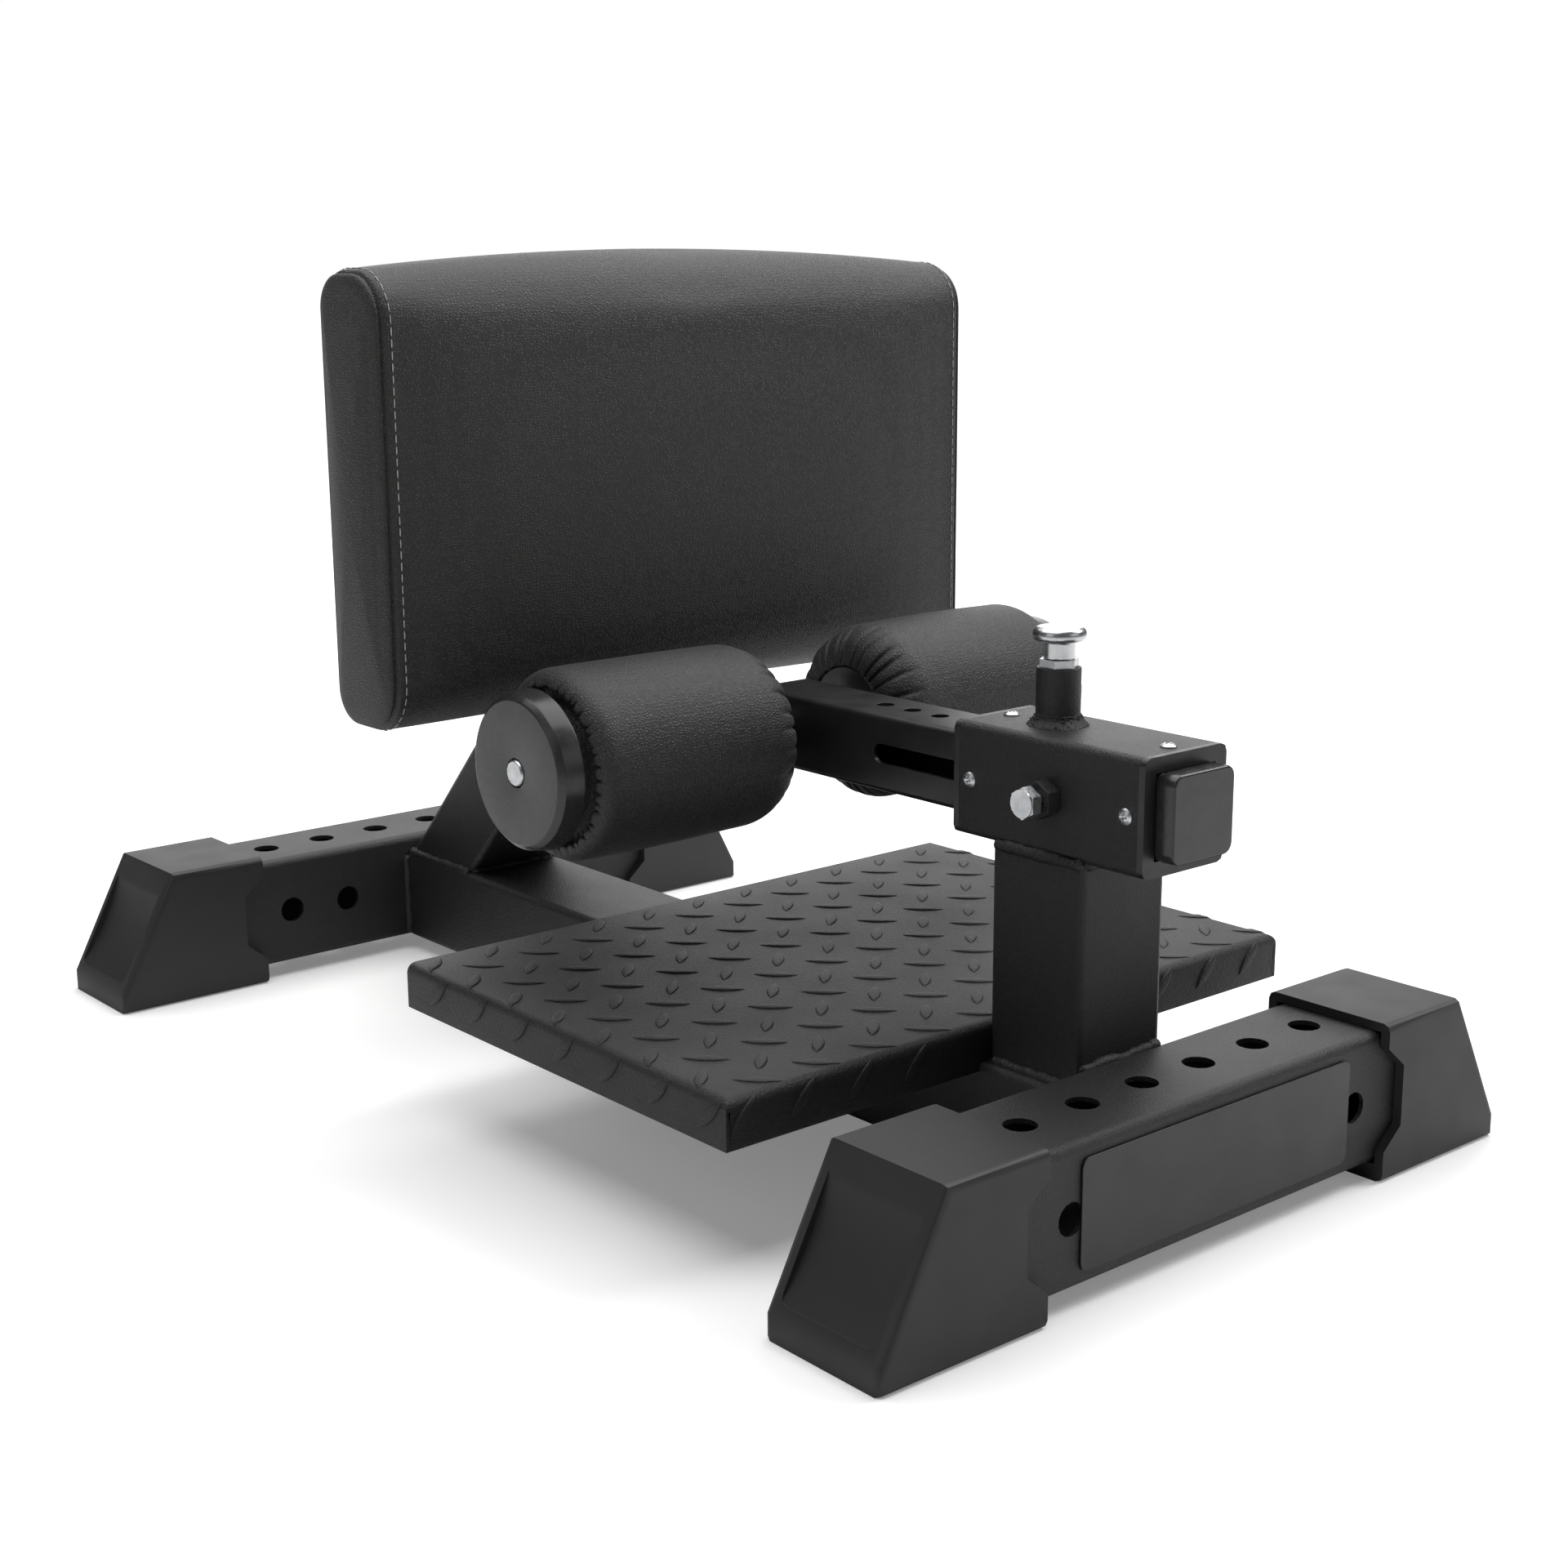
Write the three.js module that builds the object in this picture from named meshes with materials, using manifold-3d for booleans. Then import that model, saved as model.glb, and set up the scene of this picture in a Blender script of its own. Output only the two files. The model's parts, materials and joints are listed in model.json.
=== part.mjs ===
import * as THREE from 'three';
import { mergeVertices } from 'three/addons/utils/BufferGeometryUtils.js';
import Module from 'manifold-3d';

// Sissy squat bench: an H-shaped steel base on four rubber boots, a front post whose guide sleeve
// holds a sliding arm with two shin rollers, and a calf pad on a leaning support tube.
// Millimetres, +Z up, the user faces -Y. Origin: floor level, halfway between the two base tubes.

// Clearances shared by all pieces
const seat = 0.3; // between a piece and what holds it
const runningGap = 0.3; // between pieces that turn or slide on each other
const overrun = 2; // how far a cutter passes the surface that it cuts

// Base tubes
const baseSpan = 814; // between the centre lines of the front and rear tube
const baseTubeDepth = 78;
const baseTubeHeight = 85;
const baseTubeWall = 3;
const baseTubeCorner = 6;
const tubeHoleRadius = 10;
const tubeHolePitch = 50;
const frontHoleCount = 6;
const rearHoleCount = 7;
const frontFaceHolesPerSide = 1;
const rearFaceHolesPerSide = 2;

// Rubber boots, measured outwards from their mouth
const frontBootMouth = 149; // from the middle of the tube to the mouth
const rearBootMouth = 177;
const bootSideWall = 6.5;
const bootTopWall = 6;
const bootFloor = 11;
const bootTopLength = 77;
const bootFootLength = 121;
const bootToeHeight = 14;
const bootEdgeRadius = 5;
const bootPocketDepth = 66;
const bootNotchDepth = 16.5;
const bootNotchSlant = 14; // height of each slanted end of the notch
const bootNotchMargin = 9; // from the notch to the tube's top and bottom
const bootPanelInset = 9; // border round the scooped panel on the sloping end
const bootPanelDepth = 5;
const bootPanelRadius = 5;

// Name plate, left bare
const namePlateWidth = 236;
const namePlateHeight = 66;
const namePlateThickness = 1.5;
const namePlateRadius = 5;

// Main rail
const railWidth = 88;
const railHeight = 71;
const railWall = 3;
const railCorner = 5;

// Front post
const postWidth = 72;
const postDepth = 73;
const postWall = 3;
const postCorner = 4;

// Treadplate and the bars under it
const treadWidth = 482;
const treadDepth = 335;
const treadSheet = 3;
const treadLip = 30;
const treadBend = 4; // outer radius of the bends
const treadCornerGap = 1; // open joint between the front and side lips
const lugLength = 29;
const lugWidth = 7.5;
const lugHeight = 1.8;
const lugRoot = 0.5; // sunk into the sheet
const lugPitchX = 44;
const lugPitchY = 47;
const lugFirstX = 14; // from the plate's middle to a column of lugs
const lugFirstY = 15; // from the front edge to a row of lugs
const crossBarLength = 440;
const crossBarDepth = 40;
const crossBarHeight = 21;
const crossBarWall = 2;
const crossBarCorner = 3;
const crossBarInset = 60; // from the plate's front and rear edges to the bars' middles

// Guide sleeve
const armAxisHeight = 253; // above the floor
const sleeveSize = 70;
const sleeveWall = 5;
const sleeveCorner = 5;
const sleeveLength = 141;
const sleeveOverhang = 38.5; // in front of the post
const linerFlange = 4.5;
const linerLength = 36; // inside the sleeve
const linerScrewInset = 9; // from the sleeve's ends

// Liner screws
const linerScrewRadius = 2.5;
const linerScrewHeadRadius = 5;
const linerScrewHeadHeight = 2.5;
const linerScrewBite = 3; // into the liner

// Stop bolt that runs in the arm's side slot
const stopBoltSetback = 68.5; // from the sleeve's front end
const stopBoltRadius = 5.9;
const stopNutFlats = 20.5;
const stopNutThickness = 10;
const stopBoltReach = 22; // from the sleeve to the outer face of the bolt's head
const stopHeadFlats = 17;
const stopHeadHeight = 8;
const stopHeadDome = 1;
const stopBoltTip = 4; // past the inner face of the arm's wall

// Sliding arm
const armSize = 50;
const armWall = 3;
const armCorner = 4;
const armLength = 350;
const armNose = 1; // proud of the front liner at rest
const armHoleRadius = 5.75;
const armHolePitch = 25;
const armHoleCount = 7;
const slotHeight = 12.5;
const slotEndRoom = 4; // beyond the bolt at each end of the travel
const plugLip = 13;
const plugLipOverlap = 1; // beyond the arm's outline on each side
const plugRadius = 7;
const plugInsert = 20;
const plugInsertWall = 3;
const plugBevel = 1.5;
const rearPlugLip = 3;
const rearPlugInsert = 3;

// Spring-loaded pull pin on the sleeve
const pinSetback = 94; // from the sleeve's front end
const pinRadius = 5.4;
const pinTravel = 14;
const pinClearance = 2; // between the arm's top and the lifted pin
const pinShoulderRadius = 6.6;
const pinShoulderHeight = 4;
const pinStemRadius = 3.2;
const pinTaper = 1.5;
const flareRadius = 18.5;
const flareHeight = 6;
const housingRadius = 13.4;
const housingHeight = 34.7;
const housingBore = 9.5;
const barrelRadius = 9.2;
const barrelBore = 7.1;
const barrelLength = 24; // inside the housing
const barrelFlats = 21;
const barrelHeadHeight = 5;
const barrelRoof = 6.7; // solid top around the stem
const springWire = 1.2;
const springTurns = 5;
const knobNeckRadius = 9.6;
const knobNeckWaist = 9;
const knobNeckHeight = 10;
const knobRadius = 17;
const knobHeight = 9.5;
const knobRimHeight = 3.5;
const knobBoreDepth = 14;

// Roller axle
const axleInset = 16; // from the arm's rear end
const axleRadius = 10;
const spacerRadius = 15;
const axleScrewRadius = 5;
const axleScrewHeadRadius = 8.5;
const axleScrewHeadHeight = 3;
const axleScrewBite = 18;

// Shin rollers, measured outwards from the middle of the bench
const rollerInner = 41;
const rollerOuter = 228.5;
const rollerRadius = 60.5;
const rollerCoreWall = 6;
const rollerDiscRadius = 34;
const rollerDiscThickness = 3;
const rollerShoulder = 24; // length of the rounded inner end
const rollerRearShoulder = 14; // length of the rounded end behind the cap
const rollerPleats = 16;
const rollerPleatDepth = 1.6;
const capRadius = 48.5;
const capFlangeRadius = 50.5;
const capFlangeThickness = 4;
const capThickness = 17;
const capChamfer = 4;
const capEndWall = 4;
const capRecess = 2;

// Calf pad and its support
const padWidth = 502;
const padThickness = 76;
const padHeight = 294;
const padBottom = 259; // above the floor
const padBehindRollers = 41.5; // from the rollers to the pad's face, with the arm at rest
const padEdgeRadius = 30;
const padTopCrown = 14;
const padFaceCrown = 4;
const padSideDraw = 3; // how far the end seams draw the cover in
const padEndCrown = 3;
const padBoardThickness = 15;
const padBoardMargin = 26; // of cushion round the board
const padBoardRadius = 12;
const mountPlateWidth = 180;
const mountPlateHeight = 190;
const mountPlateThickness = 6;
const mountPlateRadius = 8;
const mountPlateRise = 98; // from the pad's bottom to the plate's middle
const padBoltInset = 30;
const padBoltRadius = 4;
const padBoltFlats = 13;
const padBoltHeadHeight = 5.5;
const padBoltBite = 11; // into the board
const supportWidth = 80;
const supportDepth = 65;
const supportWall = 3;
const supportCorner = 5;
const supportMeetRise = 54; // from the pad's bottom to where the tube's axis meets the plate
const supportHeelInset = 1; // from the rail's rear end

// Facets per full turn
const holeSides = 14;
const smallSides = 10;
const roundSides = 24;
const cornerSteps = 1;
const padCornerSteps = 3;
const scoopSides = 72;
const springSides = 6;
const springSteps = 8; // for each turn

// Heights and places that follow from the sizes above
const baseTubeBottom = bootFloor + seat;
const baseTubeTop = baseTubeBottom + baseTubeHeight;
const railTop = baseTubeBottom + railHeight;
const frontTubeY = -baseSpan / 2;
const rearTubeY = baseSpan / 2;
const railLength = baseSpan - baseTubeDepth;
const postFrontY = frontTubeY + baseTubeDepth / 2;
const postRearY = postFrontY + postDepth;
const sleeveTop = armAxisHeight + sleeveSize / 2;
const sleeveBottom = armAxisHeight - sleeveSize / 2;
const sleeveFrontY = postFrontY - sleeveOverhang;
const sleeveRearY = sleeveFrontY + sleeveLength;
const sleeveBore = sleeveSize - 2 * sleeveWall;
const linerOutside = sleeveBore - 2 * seat;
const linerBore = armSize + 2 * runningGap;
const armFrontY = sleeveFrontY - linerFlange - armNose;
const armRearY = armFrontY + armLength;
const armTravel = (armHoleCount - 1) * armHolePitch;
const pinY = sleeveFrontY + pinSetback;
const stopBoltY = sleeveFrontY + stopBoltSetback;
const axleY = armRearY - axleInset;
const axleEnd = rollerOuter - capRecess - capEndWall - runningGap;
const crossBarZ = railTop + crossBarHeight / 2;
const treadTop = railTop + crossBarHeight + treadSheet;
const padBackY = axleY + rollerRadius + padBehindRollers + padThickness;
const padMiddleZ = padBottom + padHeight / 2;
const mountPlateBackY = padBackY + mountPlateThickness;
const mountPlateZ = padBottom + mountPlateRise;

// The support tube leans so that its heel stays at the rail's end and its axis meets the plate
const supportHeelY = rearTubeY - baseTubeDepth / 2 - supportHeelInset;
const supportMeetZ = padBottom + supportMeetRise;
const supportReach = supportHeelY - mountPlateBackY;
const supportRise = supportMeetZ - railTop;
const supportLean = Math.acos(supportDepth / 2 / Math.hypot(supportReach, supportRise))
  - Math.atan2(supportRise, supportReach);
const supportMiddleY = supportHeelY - supportDepth / 2 / Math.cos(supportLean);

const weldTolerance = 1e-4;
const wasm = await Module();
wasm.setup();

// A closed geometry as a solid for joining and cutting
function solidOf(geometry) {
  const bare = geometry.clone();
  bare.deleteAttribute('normal');
  bare.deleteAttribute('uv');
  const welded = mergeVertices(bare, weldTolerance);
  const vertProperties = new Float32Array(welded.attributes.position.array);
  const triVerts = new Uint32Array(welded.index.array);
  return new wasm.Manifold(new wasm.Mesh({ numProp: 3, vertProperties, triVerts }));
}

function geometryOf(solid) {
  const { vertProperties, triVerts } = solid.getMesh();
  const geometry = new THREE.BufferGeometry();
  geometry.setAttribute('position', new THREE.BufferAttribute(new Float32Array(vertProperties), 3));
  geometry.setIndex(new THREE.BufferAttribute(new Uint32Array(triVerts), 1));
  geometry.computeVertexNormals();
  return geometry;
}

// Takes cutters away from a body geometry
function cut(body, cutters) {
  let solid = solidOf(body);
  for (const cutter of cutters) solid = solid.subtract(solidOf(cutter));
  return geometryOf(solid);
}

// Joins geometries that share some volume
function join(bodies) {
  let solid = solidOf(bodies[0]);
  for (const body of bodies.slice(1)) solid = solid.add(solidOf(body));
  return geometryOf(solid);
}

// The part of a body that lies inside another
function within(body, room) {
  return geometryOf(solidOf(body).intersect(solidOf(room)));
}

// Turns a geometry whose length runs along +Z so that it runs along the given axis.
// Its X and Y become Y and Z along x, and X and Z along y.
function lengthwise(geometry, axis) {
  const basis = new THREE.Matrix4();
  const [x, y, z] = ['x', 'y', 'z'].map((name) => new THREE.Vector3().setComponent('xyz'.indexOf(name), 1));
  if (axis === 'x') basis.makeBasis(y, z, x);
  if (axis === 'y') basis.makeBasis(x, z, y.negate());
  return geometry.applyMatrix4(basis);
}

// A prism of a flat outline, centred on its length
function prism(outline, length, axis, curveSegments = cornerSteps) {
  const geometry = new THREE.ExtrudeGeometry(outline, { depth: length, bevelEnabled: false, curveSegments });
  return lengthwise(geometry.translate(0, 0, -length / 2), axis);
}

function box(x, y, z) {
  return new THREE.BoxGeometry(x, y, z);
}

function cylinder(radius, length, axis, sides = smallSides) {
  const geometry = new THREE.CylinderGeometry(radius, radius, length, sides);
  return lengthwise(geometry.rotateX(Math.PI / 2), axis);
}

// A hexagonal prism, given its width across flats
function hexagon(flats, length, axis) {
  const cornerRadius = flats / 2 / Math.cos(Math.PI / 6);
  return cylinder(cornerRadius, length, axis, 6);
}

// A turned solid from [radius, height] pairs that start and end on the axis or close on themselves
function turned(profile, axis, sides = roundSides) {
  const points = profile.map(([radius, height]) => new THREE.Vector2(radius, height));
  const geometry = new THREE.LatheGeometry(points, sides);
  return lengthwise(geometry.rotateX(Math.PI / 2), axis);
}

// A turned ring: the profile closes on itself
function turnedRing(profile, axis, sides) {
  return turned([...profile, profile[0]], axis, sides);
}

function roundedRectangle(width, height, radius, target = new THREE.Shape()) {
  const x = width / 2 - radius;
  const y = height / 2 - radius;
  target.moveTo(x + radius, -y);
  target.lineTo(x + radius, y);
  target.absarc(x, y, radius, 0, Math.PI / 2);
  target.lineTo(-x, y + radius);
  target.absarc(-x, y, radius, Math.PI / 2, Math.PI);
  target.lineTo(-x - radius, -y);
  target.absarc(-x, -y, radius, Math.PI, 1.5 * Math.PI);
  target.lineTo(x, -y - radius);
  target.absarc(x, -y, radius, 1.5 * Math.PI, 2 * Math.PI);
  return target;
}

// A rectangular tube with rounded corners
function tube(width, height, wall, corner, length, axis) {
  const outline = roundedRectangle(width, height, corner);
  const inside = roundedRectangle(width - 2 * wall, height - 2 * wall, corner - wall / 2, new THREE.Path());
  outline.holes.push(inside);
  return prism(outline, length, axis);
}

// A slot with round ends along the outline's X
function slotOutline(length, height) {
  const radius = height / 2;
  const reach = length / 2 - radius;
  const outline = new THREE.Shape();
  outline.moveTo(-reach, -radius);
  outline.lineTo(reach, -radius);
  outline.absarc(reach, 0, radius, -Math.PI / 2, Math.PI / 2);
  outline.lineTo(-reach, radius);
  outline.absarc(-reach, 0, radius, Math.PI / 2, 1.5 * Math.PI);
  return outline;
}

// A bar that rounds off a long edge when it is taken away: the edge lies at the outline's origin
// and the body in the quarter with negative X and Y
function edgeRounder(radius, length, axis) {
  const outline = new THREE.Shape();
  outline.moveTo(overrun, overrun);
  outline.lineTo(-radius, overrun);
  outline.lineTo(-radius, 0);
  outline.absarc(-radius, -radius, radius, Math.PI / 2, 0, true);
  outline.lineTo(overrun, -radius);
  return prism(outline, length, axis);
}

// Reverses the faces of a geometry that was mirrored or turned inside out
function facingOut(geometry) {
  const position = geometry.attributes.position;
  const index = geometry.index.array;
  const corners = [0, 1, 2].map(() => new THREE.Vector3());
  let volume = 0;
  for (let i = 0; i < index.length; i += 3) {
    corners.forEach((corner, k) => corner.fromBufferAttribute(position, index[i + k]));
    volume += corners[0].dot(corners[1].cross(corners[2]));
  }
  if (volume < 0) {
    for (let i = 0; i < index.length; i += 3) [index[i], index[i + 1]] = [index[i + 1], index[i]];
  }
  return geometry;
}

// Materials, one for each piece
const finishes = {
  powderCoat: { color: 0x222224, roughness: 0.55, metalness: 0.1 },
  satinBlack: { color: 0x1c1c1e, roughness: 0.4, metalness: 0.1 },
  checkerSteel: { color: 0x262628, roughness: 0.5, metalness: 0.15 },
  bootRubber: { color: 0x37373a, roughness: 0.75, metalness: 0 },
  leather: { color: 0x343434, roughness: 0.6, metalness: 0 },
  greyPlastic: { color: 0x48484b, roughness: 0.45, metalness: 0 },
  blackPlastic: { color: 0x262628, roughness: 0.4, metalness: 0 },
  linerPlastic: { color: 0x1f1f21, roughness: 0.5, metalness: 0 },
  chrome: { color: 0xdadada, roughness: 0.1, metalness: 1 },
  zinc: { color: 0xc4c6c8, roughness: 0.3, metalness: 1 },
  plywood: { color: 0x9b7d55, roughness: 0.8, metalness: 0 },
};

function piece(name, geometry, finish, x = 0, y = 0, z = 0) {
  const material = new THREE.MeshStandardMaterial(finishes[finish]);
  const mesh = new THREE.Mesh(facingOut(mergeVertices(geometry)), material);
  mesh.name = name;
  mesh.position.set(x, y, z);
  return mesh;
}

// Places of a row of holes, the same distance apart and centred on the tube
function holePlaces(count) {
  return Array.from({ length: count }, (_, i) => (i - (count - 1) / 2) * tubeHolePitch);
}

// A base tube with holes through its top and bottom, and through both faces near its ends
function baseTube(name, mouth, holeCount, faceHolesPerSide, y) {
  const length = 2 * (mouth + bootPocketDepth - seat);
  const places = holePlaces(holeCount);
  const outer = places.filter((_, i) => i < faceHolesPerSide || i >= holeCount - faceHolesPerSide);
  const drills = places.map((x) => (
    cylinder(tubeHoleRadius, baseTubeHeight + 2 * overrun, 'z', holeSides).translate(x, 0, 0)));
  const faceDrills = outer.map((x) => (
    cylinder(tubeHoleRadius, baseTubeDepth + 2 * overrun, 'y', holeSides).translate(x, 0, 0)));
  const body = tube(baseTubeDepth, baseTubeHeight, baseTubeWall, baseTubeCorner, length, 'x');
  const z = baseTubeBottom + baseTubeHeight / 2;
  return piece(name, cut(body, [...drills, ...faceDrills]), 'powderCoat', 0, y, z);
}

// A moulded boot: its side outline is extruded across the tube, with rounded edges.
// It is drawn pointing to +X with its mouth at X = 0 and the floor at Z = 0.
function bootGeometry() {
  const depth = baseTubeDepth + 2 * (bootSideWall + seat);
  const height = baseTubeTop + seat + bootTopWall;
  const outline = new THREE.Shape();
  outline.moveTo(-bootEdgeRadius, bootEdgeRadius);
  outline.lineTo(bootFootLength - bootEdgeRadius, bootEdgeRadius);
  outline.lineTo(bootFootLength - bootEdgeRadius, bootToeHeight);
  outline.lineTo(bootTopLength - bootEdgeRadius, height - bootEdgeRadius);
  outline.lineTo(-bootEdgeRadius, height - bootEdgeRadius);
  const body = new THREE.ExtrudeGeometry(outline, {
    depth: depth - 2 * bootEdgeRadius,
    bevelThickness: bootEdgeRadius,
    bevelSize: bootEdgeRadius,
    bevelSegments: 2,
  });
  lengthwise(body.translate(0, 0, bootEdgeRadius - depth / 2), 'y');
  // The mouth is cut square, and the pocket takes the tube
  const mouth = box(4 * bootEdgeRadius, 2 * depth, 2 * height).translate(-2 * bootEdgeRadius, 0, height / 2);
  const pocket = box(bootPocketDepth + overrun, baseTubeDepth + 2 * seat, baseTubeHeight + 2 * seat);
  pocket.translate((bootPocketDepth - overrun) / 2, 0, baseTubeBottom + baseTubeHeight / 2);
  // The notch opens both sides of the mouth
  const notchOutline = new THREE.Shape();
  const notchLow = baseTubeBottom + bootNotchMargin;
  const notchHigh = baseTubeTop - bootNotchMargin;
  notchOutline.moveTo(-overrun, notchLow);
  notchOutline.lineTo(0, notchLow);
  notchOutline.lineTo(bootNotchDepth, notchLow + bootNotchSlant);
  notchOutline.lineTo(bootNotchDepth, notchHigh - bootNotchSlant);
  notchOutline.lineTo(0, notchHigh);
  notchOutline.lineTo(-overrun, notchHigh);
  const notch = prism(notchOutline, 2 * depth, 'y');
  // The panel on the sloping end: a shallow scoop with upright sides
  const slopeRun = bootFootLength - bootTopLength;
  const slopeRise = height - bootToeHeight;
  const slopeLength = Math.hypot(slopeRun, slopeRise);
  const panelOutline = roundedRectangle(
    depth - 2 * bootPanelInset, slopeLength - 2 * bootPanelInset, bootPanelRadius);
  const chord = slopeLength - 2 * bootPanelInset;
  const scoopRadius = ((chord / 2) ** 2 + bootPanelDepth ** 2) / (2 * bootPanelDepth);
  const scoop = cylinder(scoopRadius, depth, 'y', scoopSides).translate(scoopRadius - bootPanelDepth, 0, 0);
  const panel = within(prism(panelOutline, 3 * bootPanelDepth, 'x'), scoop);
  panel.rotateY(-Math.atan2(slopeRun, slopeRise));
  panel.translate(bootTopLength + slopeRun / 2, 0, bootToeHeight + slopeRise / 2);
  return cut(body, [mouth, pocket, notch, panel]);
}

// The left boots are the right ones turned half round, because a boot is the same on both faces
function boot(name, side, mouth, y) {
  const mesh = piece(name, bootGeometry(), 'bootRubber', side * mouth, y, 0);
  if (side < 0) mesh.rotation.z = Math.PI;
  return mesh;
}

function namePlate() {
  const outline = roundedRectangle(namePlateWidth, namePlateHeight, namePlateRadius);
  const y = frontTubeY - baseTubeDepth / 2 - namePlateThickness / 2;
  return piece(
    'name_plate', prism(outline, namePlateThickness, 'y'), 'satinBlack',
    0, y, baseTubeBottom + baseTubeHeight / 2);
}

function mainRail() {
  const body = tube(railWidth, railHeight, railWall, railCorner, railLength, 'y');
  return piece('main_rail', body, 'powderCoat', 0, 0, baseTubeBottom + railHeight / 2);
}

function frontPost() {
  const height = sleeveBottom - railTop;
  const body = tube(postWidth, postDepth, postWall, postCorner, height, 'z');
  return piece('front_post', body, 'powderCoat', 0, postFrontY + postDepth / 2, railTop + height / 2);
}

// The treadplate's sheet, drawn with its top at Z = 0 and its front edge at Y = 0.
// The front and side lips are bent down, and the front one is notched over the rail.
function treadSheetGeometry() {
  const half = treadWidth / 2;
  const profile = new THREE.Shape();
  profile.moveTo(-half, -treadLip);
  profile.lineTo(-half + treadSheet, -treadLip);
  profile.lineTo(-half + treadSheet, -treadSheet);
  profile.lineTo(half - treadSheet, -treadSheet);
  profile.lineTo(half - treadSheet, -treadLip);
  profile.lineTo(half, -treadLip);
  profile.absarc(half - treadBend, -treadBend, treadBend, 0, Math.PI / 2);
  profile.absarc(-half + treadBend, -treadBend, treadBend, Math.PI / 2, Math.PI);
  const channel = prism(profile, treadDepth, 'y').translate(0, treadDepth / 2, 0);
  const frontWidth = treadWidth - 2 * (treadSheet + treadCornerGap);
  const front = box(frontWidth, treadSheet, treadLip).translate(0, treadSheet / 2, -treadLip / 2);
  const bend = edgeRounder(treadBend, 2 * treadWidth, 'x').rotateZ(Math.PI);
  const railNotchHeight = treadLip - crossBarHeight - treadSheet + seat;
  const notch = box(railWidth + 2 * seat, 2 * overrun + treadSheet, 2 * railNotchHeight);
  notch.translate(0, treadSheet / 2, -treadLip);
  return cut(join([channel, front]), [bend, notch]);
}

// Lens-shaped lugs at the given places [x, y, turn], each with a flat base and a ridge along its middle
function lugsAt(places) {
  const shoulderShare = 0.25; // of the length, from the middle to where the ridge ends
  const fullnessShare = 0.85; // of the half width that is left there
  const end = lugLength / 2;
  const shoulder = lugLength * shoulderShare;
  const side = (lugWidth / 2) * fullnessShare;
  const corners = [
    [-end, 0, -lugRoot],
    [-shoulder, -side, -lugRoot],
    [shoulder, -side, -lugRoot],
    [end, 0, -lugRoot],
    [shoulder, side, -lugRoot],
    [-shoulder, side, -lugRoot],
    [-shoulder, 0, lugHeight],
    [shoulder, 0, lugHeight],
  ];
  const faces = [
    0, 1, 6, 1, 2, 7, 1, 7, 6, 2, 3, 7, 3, 4, 7, 4, 5, 6, 4, 6, 7, 5, 0, 6,
    0, 2, 1, 0, 3, 2, 0, 4, 3, 0, 5, 4,
  ];
  const positions = [];
  const index = [];
  for (const [x, y, turn] of places) {
    const first = positions.length / 3;
    const cos = Math.cos(turn);
    const sin = Math.sin(turn);
    for (const [u, v, z] of corners) positions.push(x + u * cos - v * sin, y + u * sin + v * cos, z);
    for (const corner of faces) index.push(first + corner);
  }
  const body = new THREE.BufferGeometry();
  body.setAttribute('position', new THREE.Float32BufferAttribute(positions, 3));
  body.setIndex(index);
  return body;
}

// Places of the lugs whose middles lie in or close to a panel of the flat sheet. Two sets of rows
// lie crosswise to each other, each half a pitch from the other.
function lugPlaces(lowX, highX, lowY, highY) {
  const margin = lugLength / 5;
  const places = [];
  for (const [offsetShare, turn] of [[0, -Math.PI / 4], [0.5, Math.PI / 4]]) {
    const startX = lugFirstX + offsetShare * lugPitchX;
    const startY = lugFirstY + offsetShare * lugPitchY;
    const firstColumn = Math.ceil((lowX - margin - startX) / lugPitchX);
    const firstRow = Math.ceil((lowY - margin - startY) / lugPitchY);
    for (let x = startX + firstColumn * lugPitchX; x < highX + margin; x += lugPitchX) {
      for (let y = startY + firstRow * lugPitchY; y < highY + margin; y += lugPitchY) places.push([x, y, turn]);
    }
  }
  return places;
}

// The lugs of one panel of the flat sheet, trimmed to the panel's edges
function panelLugs(lowX, highX, lowY, highY) {
  const panel = box(highX - lowX, highY - lowY, 4 * lugHeight);
  panel.translate((lowX + highX) / 2, (lowY + highY) / 2, 0);
  return within(lugsAt(lugPlaces(lowX, highX, lowY, highY)), panel);
}

// The pattern runs over the bends: each lip's lugs are folded down with it
function treadPlate() {
  const half = treadWidth / 2;
  const lipLow = half + treadBend;
  const lipHigh = half + treadLip;
  const top = panelLugs(treadBend - half, half - treadBend, treadBend, treadDepth);
  const left = panelLugs(-lipHigh, -lipLow, 0, treadDepth).translate(half, 0, 0);
  const right = panelLugs(lipLow, lipHigh, 0, treadDepth).translate(-half, 0, 0);
  left.rotateY(-Math.PI / 2).translate(-half, 0, 0);
  right.rotateY(Math.PI / 2).translate(half, 0, 0);
  // The front lip's lugs stop at the rail and the post
  const innerX = Math.max(railWidth, postWidth) / 2 + seat;
  const outerX = half - treadSheet - treadCornerGap;
  const front = [[-outerX, -innerX], [innerX, outerX]].map(([low, high]) => (
    panelLugs(low, high, -treadLip, -treadBend).rotateX(Math.PI / 2)));
  const body = join([treadSheetGeometry(), top, left, right, ...front]);
  return piece('tread_plate', body, 'checkerSteel', 0, postRearY, treadTop);
}

function crossBar(name, y) {
  const body = tube(crossBarDepth, crossBarHeight, crossBarWall, crossBarCorner, crossBarLength, 'x');
  return piece(name, body, 'powderCoat', 0, y, crossBarZ);
}

// Where the liner screws go through the sleeve: [name, outward direction]
const linerScrewSides = [
  ['left', new THREE.Vector3(-1, 0, 0)],
  ['right', new THREE.Vector3(1, 0, 0)],
  ['top', new THREE.Vector3(0, 0, 1)],
];

// A drill along a screw's direction, at the given distance from the sleeve's axis
function screwDrill(direction, radius, length, distance) {
  const drill = cylinder(radius, length, direction.x === 0 ? 'z' : 'x');
  return drill.translate(direction.x * distance, 0, direction.z * distance);
}

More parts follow.
